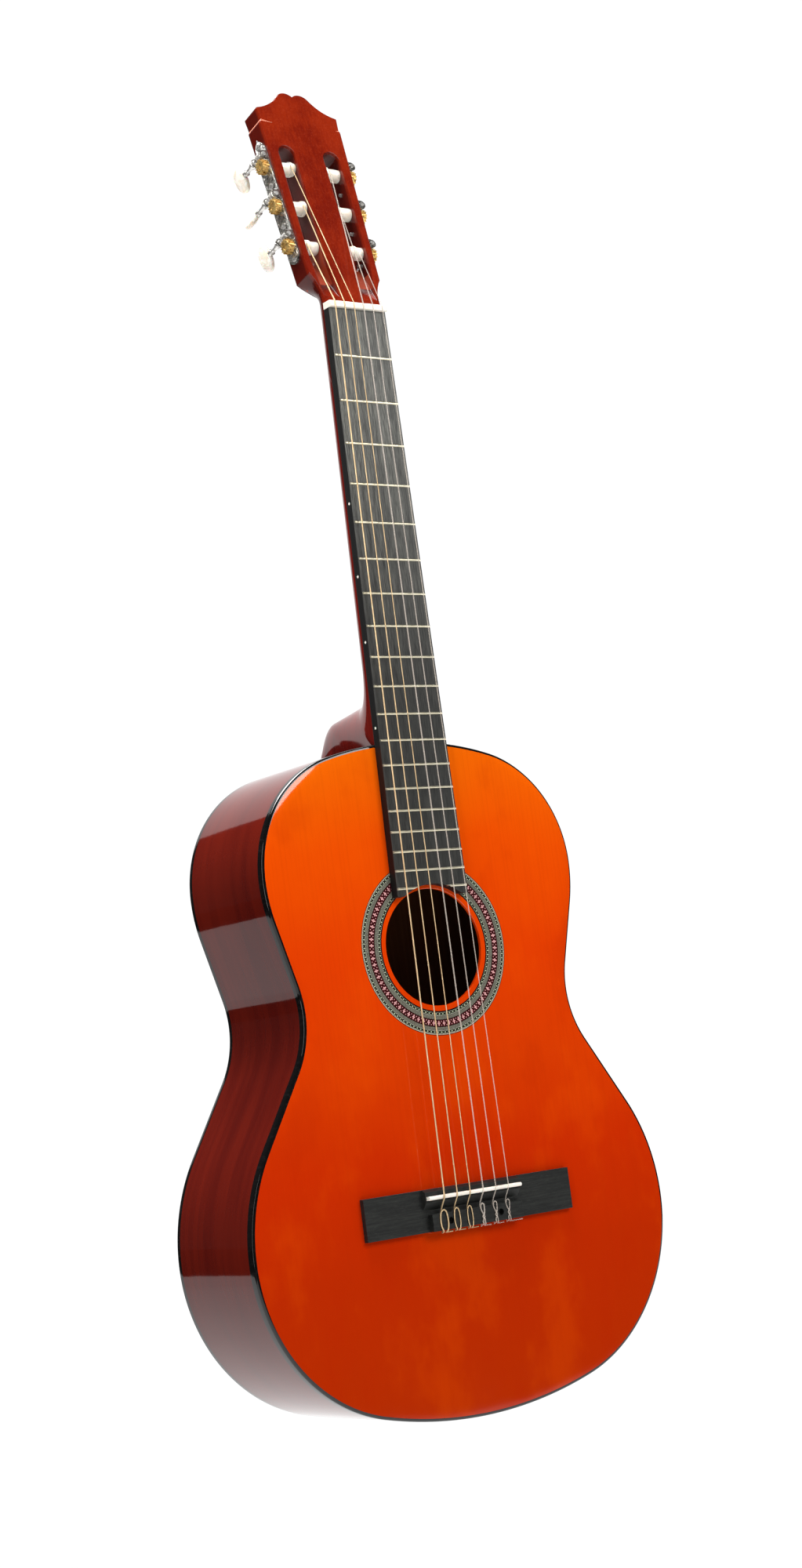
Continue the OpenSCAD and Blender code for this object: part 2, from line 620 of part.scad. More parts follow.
// Helical thread, its ridge half a pitch above z = 0 on the gear's side
turn_n = 20;
thread_i0 = -52;
thread_i1 = 11;
module thread() {
    form = [[worm_root - 0.3, -0.78], [worm_tip, -0.3], [worm_tip, 0.3], [worm_root - 0.3, 0.78]];
    n = thread_i1 - thread_i0;
    pts = [for (i = [thread_i0:thread_i1]) let (a = 360 * i / turn_n)
        for (p = form) [p[0] * sin(a), -p[0] * cos(a), p[1] + thread_p * a / 360 + thread_p / 2]];
    polyhedron(pts, concat([[3, 2, 1, 0]],
        [for (i = [0:n - 1]) for (j = [0:3]) let (k = (j + 1) % 4)
            each [[4 * i + j, 4 * i + 4 + k, 4 * i + 4 + j], [4 * i + j, 4 * i + k, 4 * i + 4 + k]]],
        [[4 * n, 4 * n + 1, 4 * n + 2, 4 * n + 3]]), convexity = 10);
}

button_z = -28.5;
module worm(s, k) color(chrome) on_side(s) translate([gear_x, roller_y(k) + gear_gap, 0]) {
    thread();
    translate([0, 0, -6.5]) cylinder(h = 10.5, r = worm_root, $fn = 40);
    translate([0, 0, button_z - 3]) cylinder(h = plate_z1 + 1 - button_z + 3, r = worm_r, $fn = 40);
    translate([0, 0, -6.6]) cylinder(h = 0.7, r = 2.6, $fn = 40);
    translate([0, 0, 3.3]) cylinder(h = 0.7, r = 2.6, $fn = 40);
    translate([0, 0, -11.2]) cylinder(h = 2.7, r = 2.7, $fn = 40);
    translate([0, 0, -13]) cylinder(h = 1.8, r = 2.1, $fn = 40);
    translate([0, 0, -22]) cylinder(h = 2.8, r = 2.5, $fn = 40);
    translate([0, 0, -19.4]) cylinder(h = 1, r = 2, $fn = 40);
}

function pw(x, e) = sign(x) * pow(abs(x), e);

// Oval button, its long way turned by a about the shaft
module button_form(a) rotate([0, 0, a]) {
    n = 20;
    m = 9;
    pts = concat([[0, 0, -button_b]], [for (i = [1:m - 1]) let (f = -90 + 180 * i / m)
        for (j = [0:n - 1]) let (g = 360 * j / n)
            [button_a * pw(cos(f), 0.9) * pw(cos(g), 0.85),
                button_c * pw(cos(f), 0.7) * pw(sin(g), 0.7),
                button_b * pw(sin(f), 0.95)]], [[0, 0, button_b]]);
    last = len(pts) - 1;
    polyhedron(pts, concat([for (j = [0:n - 1]) [0, 1 + j, 1 + (j + 1) % n]],
        [for (i = [0:m - 3]) for (j = [0:n - 1]) let (k = (j + 1) % n, q = 1 + i * n)
            each [[q + j, q + n + j, q + n + k], [q + j, q + n + k, q + k]]],
        [for (j = [0:n - 1]) let (q = 1 + (m - 2) * n) [last, q + (j + 1) % n, q + j]]), convexity = 4);
}
module button(s, k, a) color("#efe9dc") on_side(s)
    translate([gear_x, roller_y(k) + gear_gap, button_z]) difference() {
        button_form(a);
        translate([0, 0, -3.02]) cylinder(h = 20, r = worm_r + 0.02, $fn = 40);
        translate([0, 0, 6.48]) cylinder(h = 10, r = 2.6, $fn = 40);
    }

// Roller with its string wound on at the middle of the slot
module roller(s, k, i) color("#eeeae0") on_side(s) translate([0, roller_y(k), 0]) {
    r = string_r[i];
    x = (wind_x(i) - side_x(0) - roller_y(k) * sin(side_angle)) / cos(side_angle);
    difference() {
        along_x(-27.6, -1.2, roller_r);
        along_x(-5.3, 2, 3.02);
        translate([x - 3 * r - 0.6, 0, 0]) cylinder(h = 30, r = 0.8, center = true, $fn = 24);
    }
    for (j = [0:2]) translate([x - (2.3 + 2.05 * j) * r, 0, 0]) rotate([0, 90, 0])
        rotate_extrude($fn = 64) translate([roller_r + r - 0.06, 0]) circle(r = r, $fn = 16);
}

module button_1() button(1, 0, 97);
module button_2() button(1, 1, 40);
module button_3() button(1, 2, 100);
module button_4() button(-1, 2, 78);
module button_5() button(-1, 1, 133);
module button_6() button(-1, 0, 83);
module worm_1() worm(1, 0);
module worm_2() worm(1, 1);
module worm_3() worm(1, 2);
module worm_4() worm(-1, 2);
module worm_5() worm(-1, 1);
module worm_6() worm(-1, 0);
module gear_1() gear(1, 0);
module gear_2() gear(1, 1);
module gear_3() gear(1, 2);
module gear_4() gear(-1, 2);
module gear_5() gear(-1, 1);
module gear_6() gear(-1, 0);
module roller_1() roller(1, 0, 0);
module roller_2() roller(1, 1, 1);
module roller_3() roller(1, 2, 2);
module roller_4() roller(-1, 2, 3);
module roller_5() roller(-1, 1, 4);
module roller_6() roller(-1, 0, 5);

soundboard();
rosette();
back();
bass_side();
treble_side();
top_binding();
back_binding();
top_linings();
back_linings();
neck_block();
tail_block();
fan_braces();
harmonic_bars();
bridge_patch();
back_braces();
back_strip();
bridge();
bridge_bolts();
saddle();
neck();
headstock();
fretboard();
frets();
side_dots();
nut();
tuner_plate_bass();
tuner_plate_treble();
plate_screws();
string_1();
string_2();
string_3();
string_4();
string_5();
string_6();
button_1();
button_2();
button_3();
button_4();
button_5();
button_6();
worm_1();
worm_2();
worm_3();
worm_4();
worm_5();
worm_6();
gear_1();
gear_2();
gear_3();
gear_4();
gear_5();
gear_6();
roller_1();
roller_2();
roller_3();
roller_4();
roller_5();
roller_6();
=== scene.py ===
from math import acos, atan, atan2, ceil, cos, hypot, pi, radians, sin, sqrt, tan

import bmesh
import bpy
from mathutils import Matrix, Vector


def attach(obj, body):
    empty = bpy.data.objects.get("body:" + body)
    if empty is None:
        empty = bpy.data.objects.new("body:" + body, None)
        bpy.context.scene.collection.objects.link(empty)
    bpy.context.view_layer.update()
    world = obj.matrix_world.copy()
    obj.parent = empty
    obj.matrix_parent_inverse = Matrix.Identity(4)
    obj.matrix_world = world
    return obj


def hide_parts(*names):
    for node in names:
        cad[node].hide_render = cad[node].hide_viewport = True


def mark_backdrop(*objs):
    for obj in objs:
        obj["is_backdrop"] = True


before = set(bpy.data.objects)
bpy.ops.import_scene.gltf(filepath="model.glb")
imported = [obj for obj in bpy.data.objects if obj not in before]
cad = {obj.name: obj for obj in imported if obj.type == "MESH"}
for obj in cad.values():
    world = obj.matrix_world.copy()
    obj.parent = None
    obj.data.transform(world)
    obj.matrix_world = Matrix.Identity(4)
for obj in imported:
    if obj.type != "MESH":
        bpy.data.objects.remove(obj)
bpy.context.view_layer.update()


# ---------------------------------------------------------------- sides
# Two strips of laminated wood 2.2 mm thick, bent hot to the body's outline and
# butted at the bottom. Stained dark red, then sprayed and buffed to a deep gloss.

class Wire:
    """A shader socket that can be calculated with: each operator adds a Math node."""

    def __init__(self, owner, socket):
        self.owner = owner
        self.socket = socket

    def math(self, operation, *values):
        inputs = dict(enumerate(values))
        return self.owner.node("ShaderNodeMath", {"operation": operation}, inputs)

    def __add__(self, other):
        return self.math("ADD", self, other)

    def __radd__(self, other):
        return self.math("ADD", other, self)

    def __sub__(self, other):
        return self.math("SUBTRACT", self, other)

    def __rsub__(self, other):
        return self.math("SUBTRACT", other, self)

    def __mul__(self, other):
        return self.math("MULTIPLY", self, other)

    def __rmul__(self, other):
        return self.math("MULTIPLY", other, self)

    def __truediv__(self, other):
        return self.math("DIVIDE", self, other)

    def __lt__(self, other):
        return self.math("LESS_THAN", self, other)

    def __gt__(self, other):
        return self.math("GREATER_THAN", self, other)

    def __abs__(self):
        return self.math("ABSOLUTE", self)

    def part(self, name):
        """Another output of the same node."""
        return Wire(self.owner, self.socket.node.outputs[name])


class Nodes:
    """The node tree of a material or of the studio's light."""

    def __init__(self, tree):
        self.tree = tree

    def node(self, kind, settings=None, inputs=None):
        """A node of any kind: settings first, then the values or links of its sockets."""
        made = self.tree.nodes.new(kind)
        for key, value in (settings or {}).items():
            if key == "stops":
                ramp = made.color_ramp
                while len(ramp.elements) < len(value):
                    ramp.elements.new(0.5)
                for element, (position, colour) in zip(ramp.elements, value):
                    element.position = position
                    element.color = (*colour, 1)
            else:
                setattr(made, key, value)
        for key, value in (inputs or {}).items():
            if isinstance(value, Wire):
                self.tree.links.new(value.socket, made.inputs[key])
            elif isinstance(value, tuple) and made.inputs[key].type == "RGBA":
                made.inputs[key].default_value = (*value, 1)
            else:
                made.inputs[key].default_value = value
        first = [socket for socket in made.outputs if socket.enabled][0]
        return Wire(self, first)


class Finish(Nodes):
    """A material built around one Principled shader; keywords set that shader's own sockets."""

    def __init__(self, name, **constants):
        self.material = bpy.data.materials.new(name)
        self.material.use_nodes = True
        super().__init__(self.material.node_tree)
        self.shader = self.tree.nodes["Principled BSDF"]
        for key, value in constants.items():
            socket = key.replace("_", " ").title().replace("Ior", "IOR")
            self.shader.inputs[socket].default_value = value
        self.place = self.node("ShaderNodeTexCoord").part("Object")
        split = self.node("ShaderNodeSeparateXYZ", None, {"Vector": self.place})
        self.x = split.part("X")
        self.y = split.part("Y")
        self.z = split.part("Z")

    def scaled(self, x, y, z):
        return self.node("ShaderNodeVectorMath", {"operation": "MULTIPLY"},
                         {0: self.place, 1: (x, y, z)})

    def noise(self, x, y, z, detail=4, rough=0.55, distortion=0.0):
        """Noise between about 0.3 and 0.7, with that many lumps a metre each way."""
        return self.node("ShaderNodeTexNoise", None, {
            "Vector": self.scaled(x, y, z), "Scale": 1.0, "Detail": detail,
            "Roughness": rough, "Distortion": distortion})

    def ramp(self, value, *stops):
        return self.node("ShaderNodeValToRGB", {"stops": stops}, {0: value})

    def smooth(self, value, low, high):
        """0 below low and 1 above high, with an easy change between."""
        return self.node("ShaderNodeMapRange", {"interpolation_type": "SMOOTHSTEP"}, {
            "Value": value, "From Min": low, "From Max": high})

    def blend(self, share, first, second):
        """A colour between first and second."""
        return self.node("ShaderNodeMix", {"data_type": "RGBA"}, {
            0: share, 6: first, 7: second}).part(2)

    def feed(self, **inputs):
        for key, value in inputs.items():
            name = key.replace("_", " ").title()
            self.tree.links.new(value.socket, self.shader.inputs[name])

    def bump(self, height, distance, base=None):
        """Relief of that height in metres, on rounded edges where base gives them."""
        inputs = {"Height": height, "Distance": distance, "Strength": 1.0}
        if base:
            inputs["Normal"] = base
        self.feed(normal=self.node("ShaderNodeBump", None, inputs))

    def soft_edges(self, radius):
        """Normals as if every edge were rounded over by that radius."""
        return self.node("ShaderNodeBevel", {"samples": 6}, {"Radius": radius})

    def on(self, *pieces):
        for piece in pieces:
            piece.data.materials.clear()
            piece.data.materials.append(self.material)


def srgb(red, green, blue):
    """A colour from its 0 to 255 screen values."""
    values = []
    for part in (red, green, blue):
        part = part / 255
        values.append(part / 12.92 if part <= 0.04045 else ((part + 0.055) / 1.055) ** 2.4)
    return tuple(values)


# The body in mm: how long and how deep, and where the hanger's origin lies from it
BODY_LENGTH = 483
BODY_DEPTH = 100
HANGER_H = 824
FRONT_OUT = 9


def on_body(x, h, w):
    """A point x across, h up from the body's bottom and w out of the soundboard, in mm."""
    return (x, -w - FRONT_OUT, h - HANGER_H)


def arc(centre, radius, start, end, step=0.035):
    """Points of an arc, angles in radians."""
    count = max(2, ceil(abs(end - start) / step))
    return [(centre[0] + radius * cos(start + (end - start) * i / count),
             centre[1] + radius * sin(start + (end - start) * i / count))
            for i in range(count + 1)]


# Centres and radii of the outline's arcs, from the top round to the bottom. Each bout
# turns on one arc up to its widest point, and on a wider one from there to the waist
TOP_R = 277.29
UP = (51, 388)
UP_R = 88
UP2 = (26, 388)
UP2_R = 113
WAIST = (191.5, 293)
WAIST_R = 72
LOW2 = (49.5, 132)
LOW2_R = 134
LOW = (59.5, 132)
LOW_R = 124
BOTTOM_R = 349.27
top_turn = atan2(UP[1] - BODY_LENGTH + TOP_R, UP[0])
bottom_turn = atan2(LOW[1] - BOTTOM_R, LOW[0])


def leave(centre, radius, way):
    """Angle at which a bout's arc runs over into the waist."""
    dx = WAIST[0] - centre[0]
    dy = WAIST[1] - centre[1]
    return atan2(dy, dx) - way * acos((radius + WAIST_R) / hypot(dx, dy))


low_turn = leave(LOW2, LOW2_R, 1)
up_turn = leave(UP2, UP2_R, -1)


def rim(inset):
    """Right half of the outline, from top centre to bottom centre, set in by inset."""
    points = arc((0, BODY_LENGTH - TOP_R), TOP_R - inset, pi / 2, top_turn, 0.02)
    points += arc(UP, UP_R - inset, top_turn, 0)[1:]
    points += arc(UP2, UP2_R - inset, 0, up_turn)[1:]
    points += arc(WAIST, WAIST_R + inset, pi + up_turn, pi + low_turn)
    points += arc(LOW2, LOW2_R - inset, low_turn, 0)
    points += arc(LOW, LOW_R - inset, 0, bottom_turn)[1:]
    points += arc((0, BOTTOM_R), BOTTOM_R - inset, bottom_turn, -pi / 2, 0.02)[1:]
    return points


def outline(inset):
    """The whole outline, clockwise from top centre."""
    right = rim(inset)
    return right + [(-x, h) for x, h in right[-2:0:-1]]


def piece(name, mesh, body="guitar", sharp=35):
    """An object in the row frame, smooth but for its sharp edges, that rides on a body."""
    tidy = bmesh.new()
    tidy.from_mesh(mesh)
    bmesh.ops.remove_doubles(tidy, verts=tidy.verts, dist=1e-7)
    bmesh.ops.recalc_face_normals(tidy, faces=tidy.faces)
    tidy.to_mesh(mesh)
    tidy.free()
    mesh.shade_smooth()
    mesh.set_sharp_from_angle(angle=radians(sharp))
    made = bpy.data.objects.new(name, mesh)
    bpy.context.scene.collection.objects.link(made)
    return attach(made, body)


def loft(name, rows, loop=False, body="guitar", sharp=35):
    """A closed skin through rings of points in mm; loop joins the last ring to the first."""
    count = len(rows[0])
    faces = []
    for i in range(len(rows) - (0 if loop else 1)):
        a = i * count
        b = (i + 1) % len(rows) * count
        for j in range(count):
            k = (j + 1) % count
            faces.append((a + j, a + k, b + k, b + j))
    if not loop:
        faces.append(tuple(range(count)))
        faces.append(tuple((len(rows) - 1) * count + j for j in range(count)))
    mesh = bpy.data.meshes.new(name)
    mesh.from_pydata([Vector(p) / 1000 for row in rows for p in row], [], faces)
    return piece(name, mesh, body, sharp)


def lacquered_wood(name, light, dark, grain=(3, 150, 3), figure=(2, 9, 5), peel=0.00001):
    """Stained wood under gloss lacquer: grain streaks, cloudy stain and a faint orange peel."""
    finish = Finish(name, roughness=0.045, ior=1.43)
    streaks = finish.noise(*grain, detail=5, rough=0.6)
    clouds = finish.noise(*figure, detail=3)
    pores = finish.noise(*(8 * g for g in grain), detail=2)
    share = finish.smooth(0.55 * streaks + 0.45 * clouds, 0.36, 0.62)
    colour = finish.blend(share, dark, light)
    colour = finish.blend(0.2 * finish.smooth(pores, 0.56, 0.7), colour, dark)
    finish.stain = colour
    finish.feed(base_color=colour)
    finish.feed(roughness=0.03 + 0.05 * finish.noise(30, 30, 30))
    waves = finish.noise(9, 9, 9, detail=1)
    finish.bump(waves + 0.015 * finish.noise(220, 220, 220, detail=1), peel)
    return finish


# The sides stop short of both faces, where the bindings sit
SIDE_THICK = 2.2
FRONT_LEDGE = 6.5
BACK_LEDGE = 5
side_finish = lacquered_wood("Stained side", srgb(84, 18, 9), srgb(66, 11, 7),
                             grain=(5, 70, 5), peel=0.0006)
for side, node in ((-1, "bass_side"), (1, "treble_side")):
    outer = rim(0)
    inner = rim(SIDE_THICK)
    front = -FRONT_LEDGE
    rear = BACK_LEDGE - BODY_DEPTH
    rows = []
    for (x0, h0), (x1, h1) in zip(outer, inner):
        rows.append([on_body(side * x0, h0, front), on_body(side * x0, h0, rear),
                     on_body(side * x1, h1, rear), on_body(side * x1, h1, front)])
    strip = loft(node + "_wood", rows)
    side_finish.on(strip)
    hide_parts(node)


# ---------------------------------------------------------------- soundboard
# A 2.5 mm plate of spruce in two bookmatched halves, with a round hole and a
# shallow groove for the inlay. Tinted orange in the lacquer; its rim is sanded
# to fall away a little before the binding.

def fall(x, h, inset):
    """How far the rim has dropped; it stays level under the fingerboard."""
    if h > 440:
        level = min(max((abs(x) - 55) / 55, 0), 1)
    else:
        level = min(max((h - 200) / 110, 0), 1) * 0.85 + 0.15
    level = level * level * (3 - 2 * level)
    share = max(0, 1 - inset / 11)
    return -1.4 * level * share * share


def plate(name, rings, underside, holes=()):
    """A plate: falling rings at the front, then a level field with holes in it."""
    work = bmesh.new()

    def ring(points):
        return [work.verts.new(Vector(p) / 1000) for p in points]

    def join(first, second):
        for i in range(len(first)):
            k = (i + 1) % len(first)
            work.faces.new((first[i], first[k], second[k], second[i]))

    def fill(*bounds):
        edges = []
        for bound in bounds:
            for i in range(len(bound)):
                pair = (bound[i], bound[(i + 1) % len(bound)])
                edges.append(work.edges.get(pair) or work.edges.new(pair))
        bmesh.ops.triangle_fill(work, use_beauty=True, edges=edges)

    top = [ring(points) for points in rings]
    for first, second in zip(top, top[1:]):
        join(first, second)
    under = ring(underside)
    join(top[0], under)
    field_top = [top[-1]]
    field_under = [under]
    for hole in holes:
        made = [ring(points) for points in hole]
        for first, second in zip(made, made[1:]):
            join(first, second)
        field_top.append(made[0])
        field_under.append(made[-1])
    fill(*field_top)
    fill(*field_under)
    mesh = bpy.data.meshes.new(name)
    work.to_mesh(mesh)
    work.free()
    return piece(name, mesh)


HOLE_H = 332.2
HOLE_POINTS = 144


def hole_ring(radius, w):
    """A ring about the sound hole's centre."""
    turns = [2 * pi * i / HOLE_POINTS for i in range(HOLE_POINTS)]
    return [on_body(radius * sin(f), HOLE_H + radius * cos(f), w) for f in turns]


PLATE_THICK = 2.5
GROOVE_OUTER = 64
GROOVE_INNER = 47.4
GROOVE_DEEP = 1
HOLE_R = 42.5
fall_insets = (2.2, 3.2, 4.4, 5.6, 6.8, 8, 9.2, 10.2, 11.2)
falling = [[on_body(x, h, fall(x, h, inset)) for x, h in outline(inset)] for inset in fall_insets]
underside = [on_body(x, h, -PLATE_THICK) for x, h in outline(SIDE_THICK)]
steps = [hole_ring(GROOVE_OUTER, 0), hole_ring(GROOVE_OUTER, -GROOVE_DEEP),
         hole_ring(GROOVE_INNER, -GROOVE_DEEP), hole_ring(GROOVE_INNER, 0),
         hole_ring(HOLE_R + 0.3, 0), hole_ring(HOLE_R, -0.3), hole_ring(HOLE_R, -PLATE_THICK)]
top_plate = plate("soundboard_wood", falling, underside, [steps])
top_finish = Finish("Orange soundboard", roughness=0.04, ior=1.5)
# Darker and redder towards the bottom: partly the stain's own change, partly painted shade for light that
# falls off down the board.
height = (top_finish.z + 0.06 * (top_finish.noise(8, 8, 6) - 0.5) + 0.824) / 0.483
stain_and_shade = top_finish.ramp(height, (0.0, srgb(160, 38, 0)), (0.22, srgb(166, 36, 0)), (0.38, srgb(178, 38, 0)),
                       (0.5, srgb(190, 51, 0)), (0.68, srgb(199, 53, 0)), (0.84, srgb(208, 68, 0)),
                       (1.0, srgb(214, 93, 2)))
mottle = top_finish.noise(19, 19, 12, detail=4, rough=0.62)
stain_and_shade = top_finish.blend(0.14 * top_finish.smooth(mottle, 0.48, 0.7), stain_and_shade, srgb(224, 84, 0))
stain_and_shade = top_finish.blend(0.18 * top_finish.smooth(mottle, 0.46, 0.3), stain_and_shade, srgb(160, 26, 0))
growth = top_finish.noise(700, 700, 5, detail=2, distortion=0.2)
stain_and_shade = top_finish.blend(0.07 * top_finish.smooth(growth, 0.5, 0.62), stain_and_shade, srgb(150, 34, 0))
seam = abs(top_finish.x) < 0.00012
stain_and_shade = top_finish.blend(0.12 * seam, stain_and_shade, srgb(140, 28, 0))
hole_below = 0.4918
over = top_finish.z + hole_below
from_hole = top_finish.x * top_finish.x + over * over
purfling = (from_hole > 0.0464 ** 2) * (from_hole < 0.0475 ** 2)
stain_and_shade = top_finish.blend(purfling, stain_and_shade, (0.005, 0.004, 0.004))
top_finish.feed(base_color=stain_and_shade)
top_finish.feed(roughness=0.03 + 0.06 * top_finish.noise(40, 40, 40))
top_finish.bump(top_finish.noise(14, 14, 10, detail=1), 0.0003)
top_finish.on(top_plate)
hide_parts("soundboard")


# ---------------------------------------------------------------- back
# A 2.5 mm plate of two bookmatched halves of laminated wood, glued to the sides
# and its rim rounded over; stained and lacquered like the sides.

back_rings = [[on_body(x, h, -BODY_DEPTH - fall(x, h - BODY_LENGTH, inset)) for x, h in outline(inset)]
              for inset in fall_insets]
back_inner = [on_body(x, h, PLATE_THICK - BODY_DEPTH) for x, h in outline(SIDE_THICK)]
back_plate = plate("back_wood", back_rings, back_inner)
back_finish = lacquered_wood("Stained back", srgb(96, 20, 11), srgb(64, 10, 7),
                             grain=(110, 110, 4), figure=(12, 12, 2), peel=0.0005)
bare_side = back_finish.y < 0.0888
bare_fibres = back_finish.noise(320, 320, 8, detail=4)
bare = back_finish.blend(bare_fibres, srgb(66, 36, 22), srgb(96, 60, 38))
back_finish.feed(base_color=back_finish.blend(bare_side, back_finish.stain, bare))
back_finish.on(back_plate)
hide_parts("back")


# ---------------------------------------------------------------- bindings
# Strips of black plastic let into both edges of the body, with a hair of white
# between the front one and the soundboard, scraped flush and rounded over.

binding_finish = Finish("Black binding", base_color=(0.004, 0.004, 0.0045, 1), ior=1.5)
scuffs = binding_finish.noise(400, 60, 400, detail=3)
binding_finish.feed(base_color=binding_finish.blend(
    0.5 * binding_finish.smooth(scuffs, 0.5, 0.75), (0.003, 0.003, 0.003), (0.012, 0.011, 0.011)))
binding_finish.feed(roughness=0.03 + 0.09 * binding_finish.noise(60, 60, 60))
binding_finish.bump(binding_finish.noise(12, 12, 12, detail=1), 0.0005)
# The strip's section, from the plate round to the side: how far in, how far down
# from the face, and None for the ledge at its foot
insets = [2.2, 1.7, 1.25, 0.8, 0.45, 0.2, 0.05, 0, 0, 2.2]
drops = [0, 0.05, 0.15, 0.35, 0.6, 0.9, 1.3, 1.7, None, None]
lines = [outline(inset) for inset in insets]
for node, face, way, reach in (("top_binding", 0, 1, FRONT_LEDGE),
                               ("back_binding", -BODY_DEPTH, -1, BACK_LEDGE)):
    rows = []
    for i in range(len(lines[0])):
        row = []
        for line, inset, drop in zip(lines, insets, drops):
            x, h = line[i]
            slope = fall(x, h if way == 1 else 0, inset)
            w = -reach if drop is None else slope - drop
            row.append(on_body(x, h, face + way * w))
        rows.append(row)
    strip = loft(node + "_strip", rows, loop=True, sharp=50)
    binding_finish.on(strip)
    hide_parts(node)


# ---------------------------------------------------------------- rosette
# A thin ring of wood mosaic glued into the soundboard: beads, slanted stripes and
# a wide maroon band of small crosses between fine black lines, under the lacquer.

rosette = cad["rosette"]
inlay = Finish("Rosette mosaic", roughness=0.06, ior=1.5)
across = inlay.x * 1000
up = (inlay.z + hole_below) * 1000
radius = inlay.node("ShaderNodeMath", {"operation": "SQRT"}, {0: across * across + up * up})
turn = inlay.node("ShaderNodeMath", {"operation": "ARCTAN2"}, {0: across, 1: up}) / (2 * pi)
black = (0.006, 0.006, 0.006)


def between(value, low, high):
    return (value > low) * (value < high)


def repeat(value):
    """Distance from the middle of each whole step, -0.5 to 0.5."""
    return value - inlay.node("ShaderNodeMath", {"operation": "ROUND"}, {0: value})


def beads(colour, low, high, count):
    """Pale diamonds and crossed diagonals on black between two pale lines."""
    middle = (low + high) / 2
    half = (high - low) / 2
    step = repeat(turn * count)
    span = abs(radius - middle) / half
    diamond = (abs(step) * 3.1 + span * 0.95) < 0.68
    corner = ((0.5 - abs(step)) * 2.6 + (1 - span) * 0.9) < 0.62
    mark = inlay.node("ShaderNodeMath", {"operation": "MAXIMUM"}, {0: diamond, 1: corner})
    colour = inlay.blend(between(radius, low, high), colour, black)
    colour = inlay.blend(between(radius, low + 0.35, high - 0.35) * mark, colour, srgb(152, 164, 136))
    edge = between(radius, low + 0.02, low + 0.3) + between(radius, high - 0.3, high - 0.02)
    return inlay.blend(edge, colour, srgb(160, 160, 148))


def stripes(colour, low, high, count, lean):
    """Fine slanted lines of grey and black veneer."""
    step = repeat(turn * count + (radius - low) * lean)
    colour = inlay.blend(between(radius, low, high), colour, srgb(146, 146, 130))
    return inlay.blend(between(radius, low, high) * (abs(step) < 0.29), colour, black)


pattern = beads(black, 47.2, 49.9, 100)
pattern = stripes(pattern, 50.1, 52.5, 226, 1.6)
maroon = between(radius, 52.8, 57.7)
pattern = inlay.blend(maroon, pattern, srgb(52, 8, 13))
flower = repeat(turn * 76)
flower_pitch = 4.57
sideways = abs(flower) * flower_pitch
away = abs(radius - 55.25)
petals = (sideways < 0.42) * (away < 1.75) * ((away > 0.5) + (sideways < 0.16))
arms = (away < 0.42) * (sideways < 1.15)
core = (away < 0.2) * (sideways < 0.2)
mark = inlay.node("ShaderNodeMath", {"operation": "MAXIMUM"}, {0: petals, 1: arms})
pattern = inlay.blend(mark * (1 - core), pattern, srgb(214, 160, 160))
dots = ((0.5 - abs(flower)) * flower_pitch < 0.34) * (abs(away - 1.35) < 0.34)
pattern = inlay.blend(dots, pattern, srgb(196, 150, 150))
pattern = stripes(pattern, 58.0, 60.1, 262, -1.6)
pattern = beads(pattern, 60.3, 63.0, 124)
pattern = inlay.blend(between(radius, 63.15, 63.5), pattern, srgb(186, 170, 150))
wood = inlay.noise(900, 900, 900, detail=2)
pattern = inlay.blend(0.35 * inlay.smooth(wood, 0.45, 0.7), pattern, srgb(60, 34, 22))
inlay.feed(base_color=pattern)
inlay.feed(roughness=0.04 + 0.08 * inlay.noise(90, 90, 90))
inlay.bump(inlay.noise(14, 14, 10, detail=1), 0.0003)
inlay.on(rosette)


# ---------------------------------------------------------------- inside of the body
# Linings, end blocks and the bridge patch of cedar, and planed spruce braces, bars
# and seam strip, all left bare and glued; they are seen through the sound hole.

def bare_wood(name, light, dark, grain):
    finish = Finish(name, roughness=0.7, ior=1.45)
    streaks = finish.noise(*grain, detail=6, rough=0.65)
    dirt = finish.noise(14, 14, 14, detail=3)
    colour = finish.blend(finish.smooth(streaks, 0.36, 0.66), dark, light)
    colour = finish.blend(0.3 * finish.smooth(dirt, 0.45, 0.7), colour, dark)
    finish.feed(base_color=colour)
    finish.feed(roughness=0.55 + 0.3 * streaks)
    finish.bump(streaks, 0.0002)
    return finish


cedar = bare_wood("Bare cedar", srgb(150, 104, 66), srgb(92, 56, 34), (12, 260, 60))
for node in ("top_linings", "back_linings", "neck_block", "tail_block", "bridge_patch"):
    cedar.on(cad[node])
across_spruce = bare_wood("Bare spruce bars", srgb(206, 170, 116), srgb(160, 116, 68), (6, 420, 420))
for node in ("harmonic_bars", "back_braces"):
    across_spruce.on(cad[node])
long_spruce = bare_wood("Bare spruce braces", srgb(206, 170, 116), srgb(160, 116, 68), (420, 420, 6))
for node in ("fan_braces", "back_strip"):
    long_spruce.on(cad[node])


# ---------------------------------------------------------------- bridge
# One piece of hard black-dyed wood, planed to crisp edges: thin wings, a saddle
# part and a tie block. Glued to the soundboard and left satin, its grain open.

bridge = cad["bridge"]
ebony = Finish("Black bridge wood", roughness=0.3, ior=1.5, specular_ior_level=0.3)
streaks = ebony.noise(40, 900, 900, detail=6, rough=0.7)
fibres = ebony.noise(160, 2600, 2600, detail=4)
colour = ebony.blend(ebony.smooth(streaks, 0.4, 0.66), srgb(11, 12, 11), srgb(27, 29, 26))
colour = ebony.blend(0.4 * ebony.smooth(fibres, 0.55, 0.7), colour, srgb(50, 52, 46))
ebony.feed(base_color=colour)
ebony.feed(roughness=0.4 + 0.25 * streaks)
ebony.bump(fibres, 0.00012, base=ebony.soft_edges(0.0004))
ebony.on(bridge)

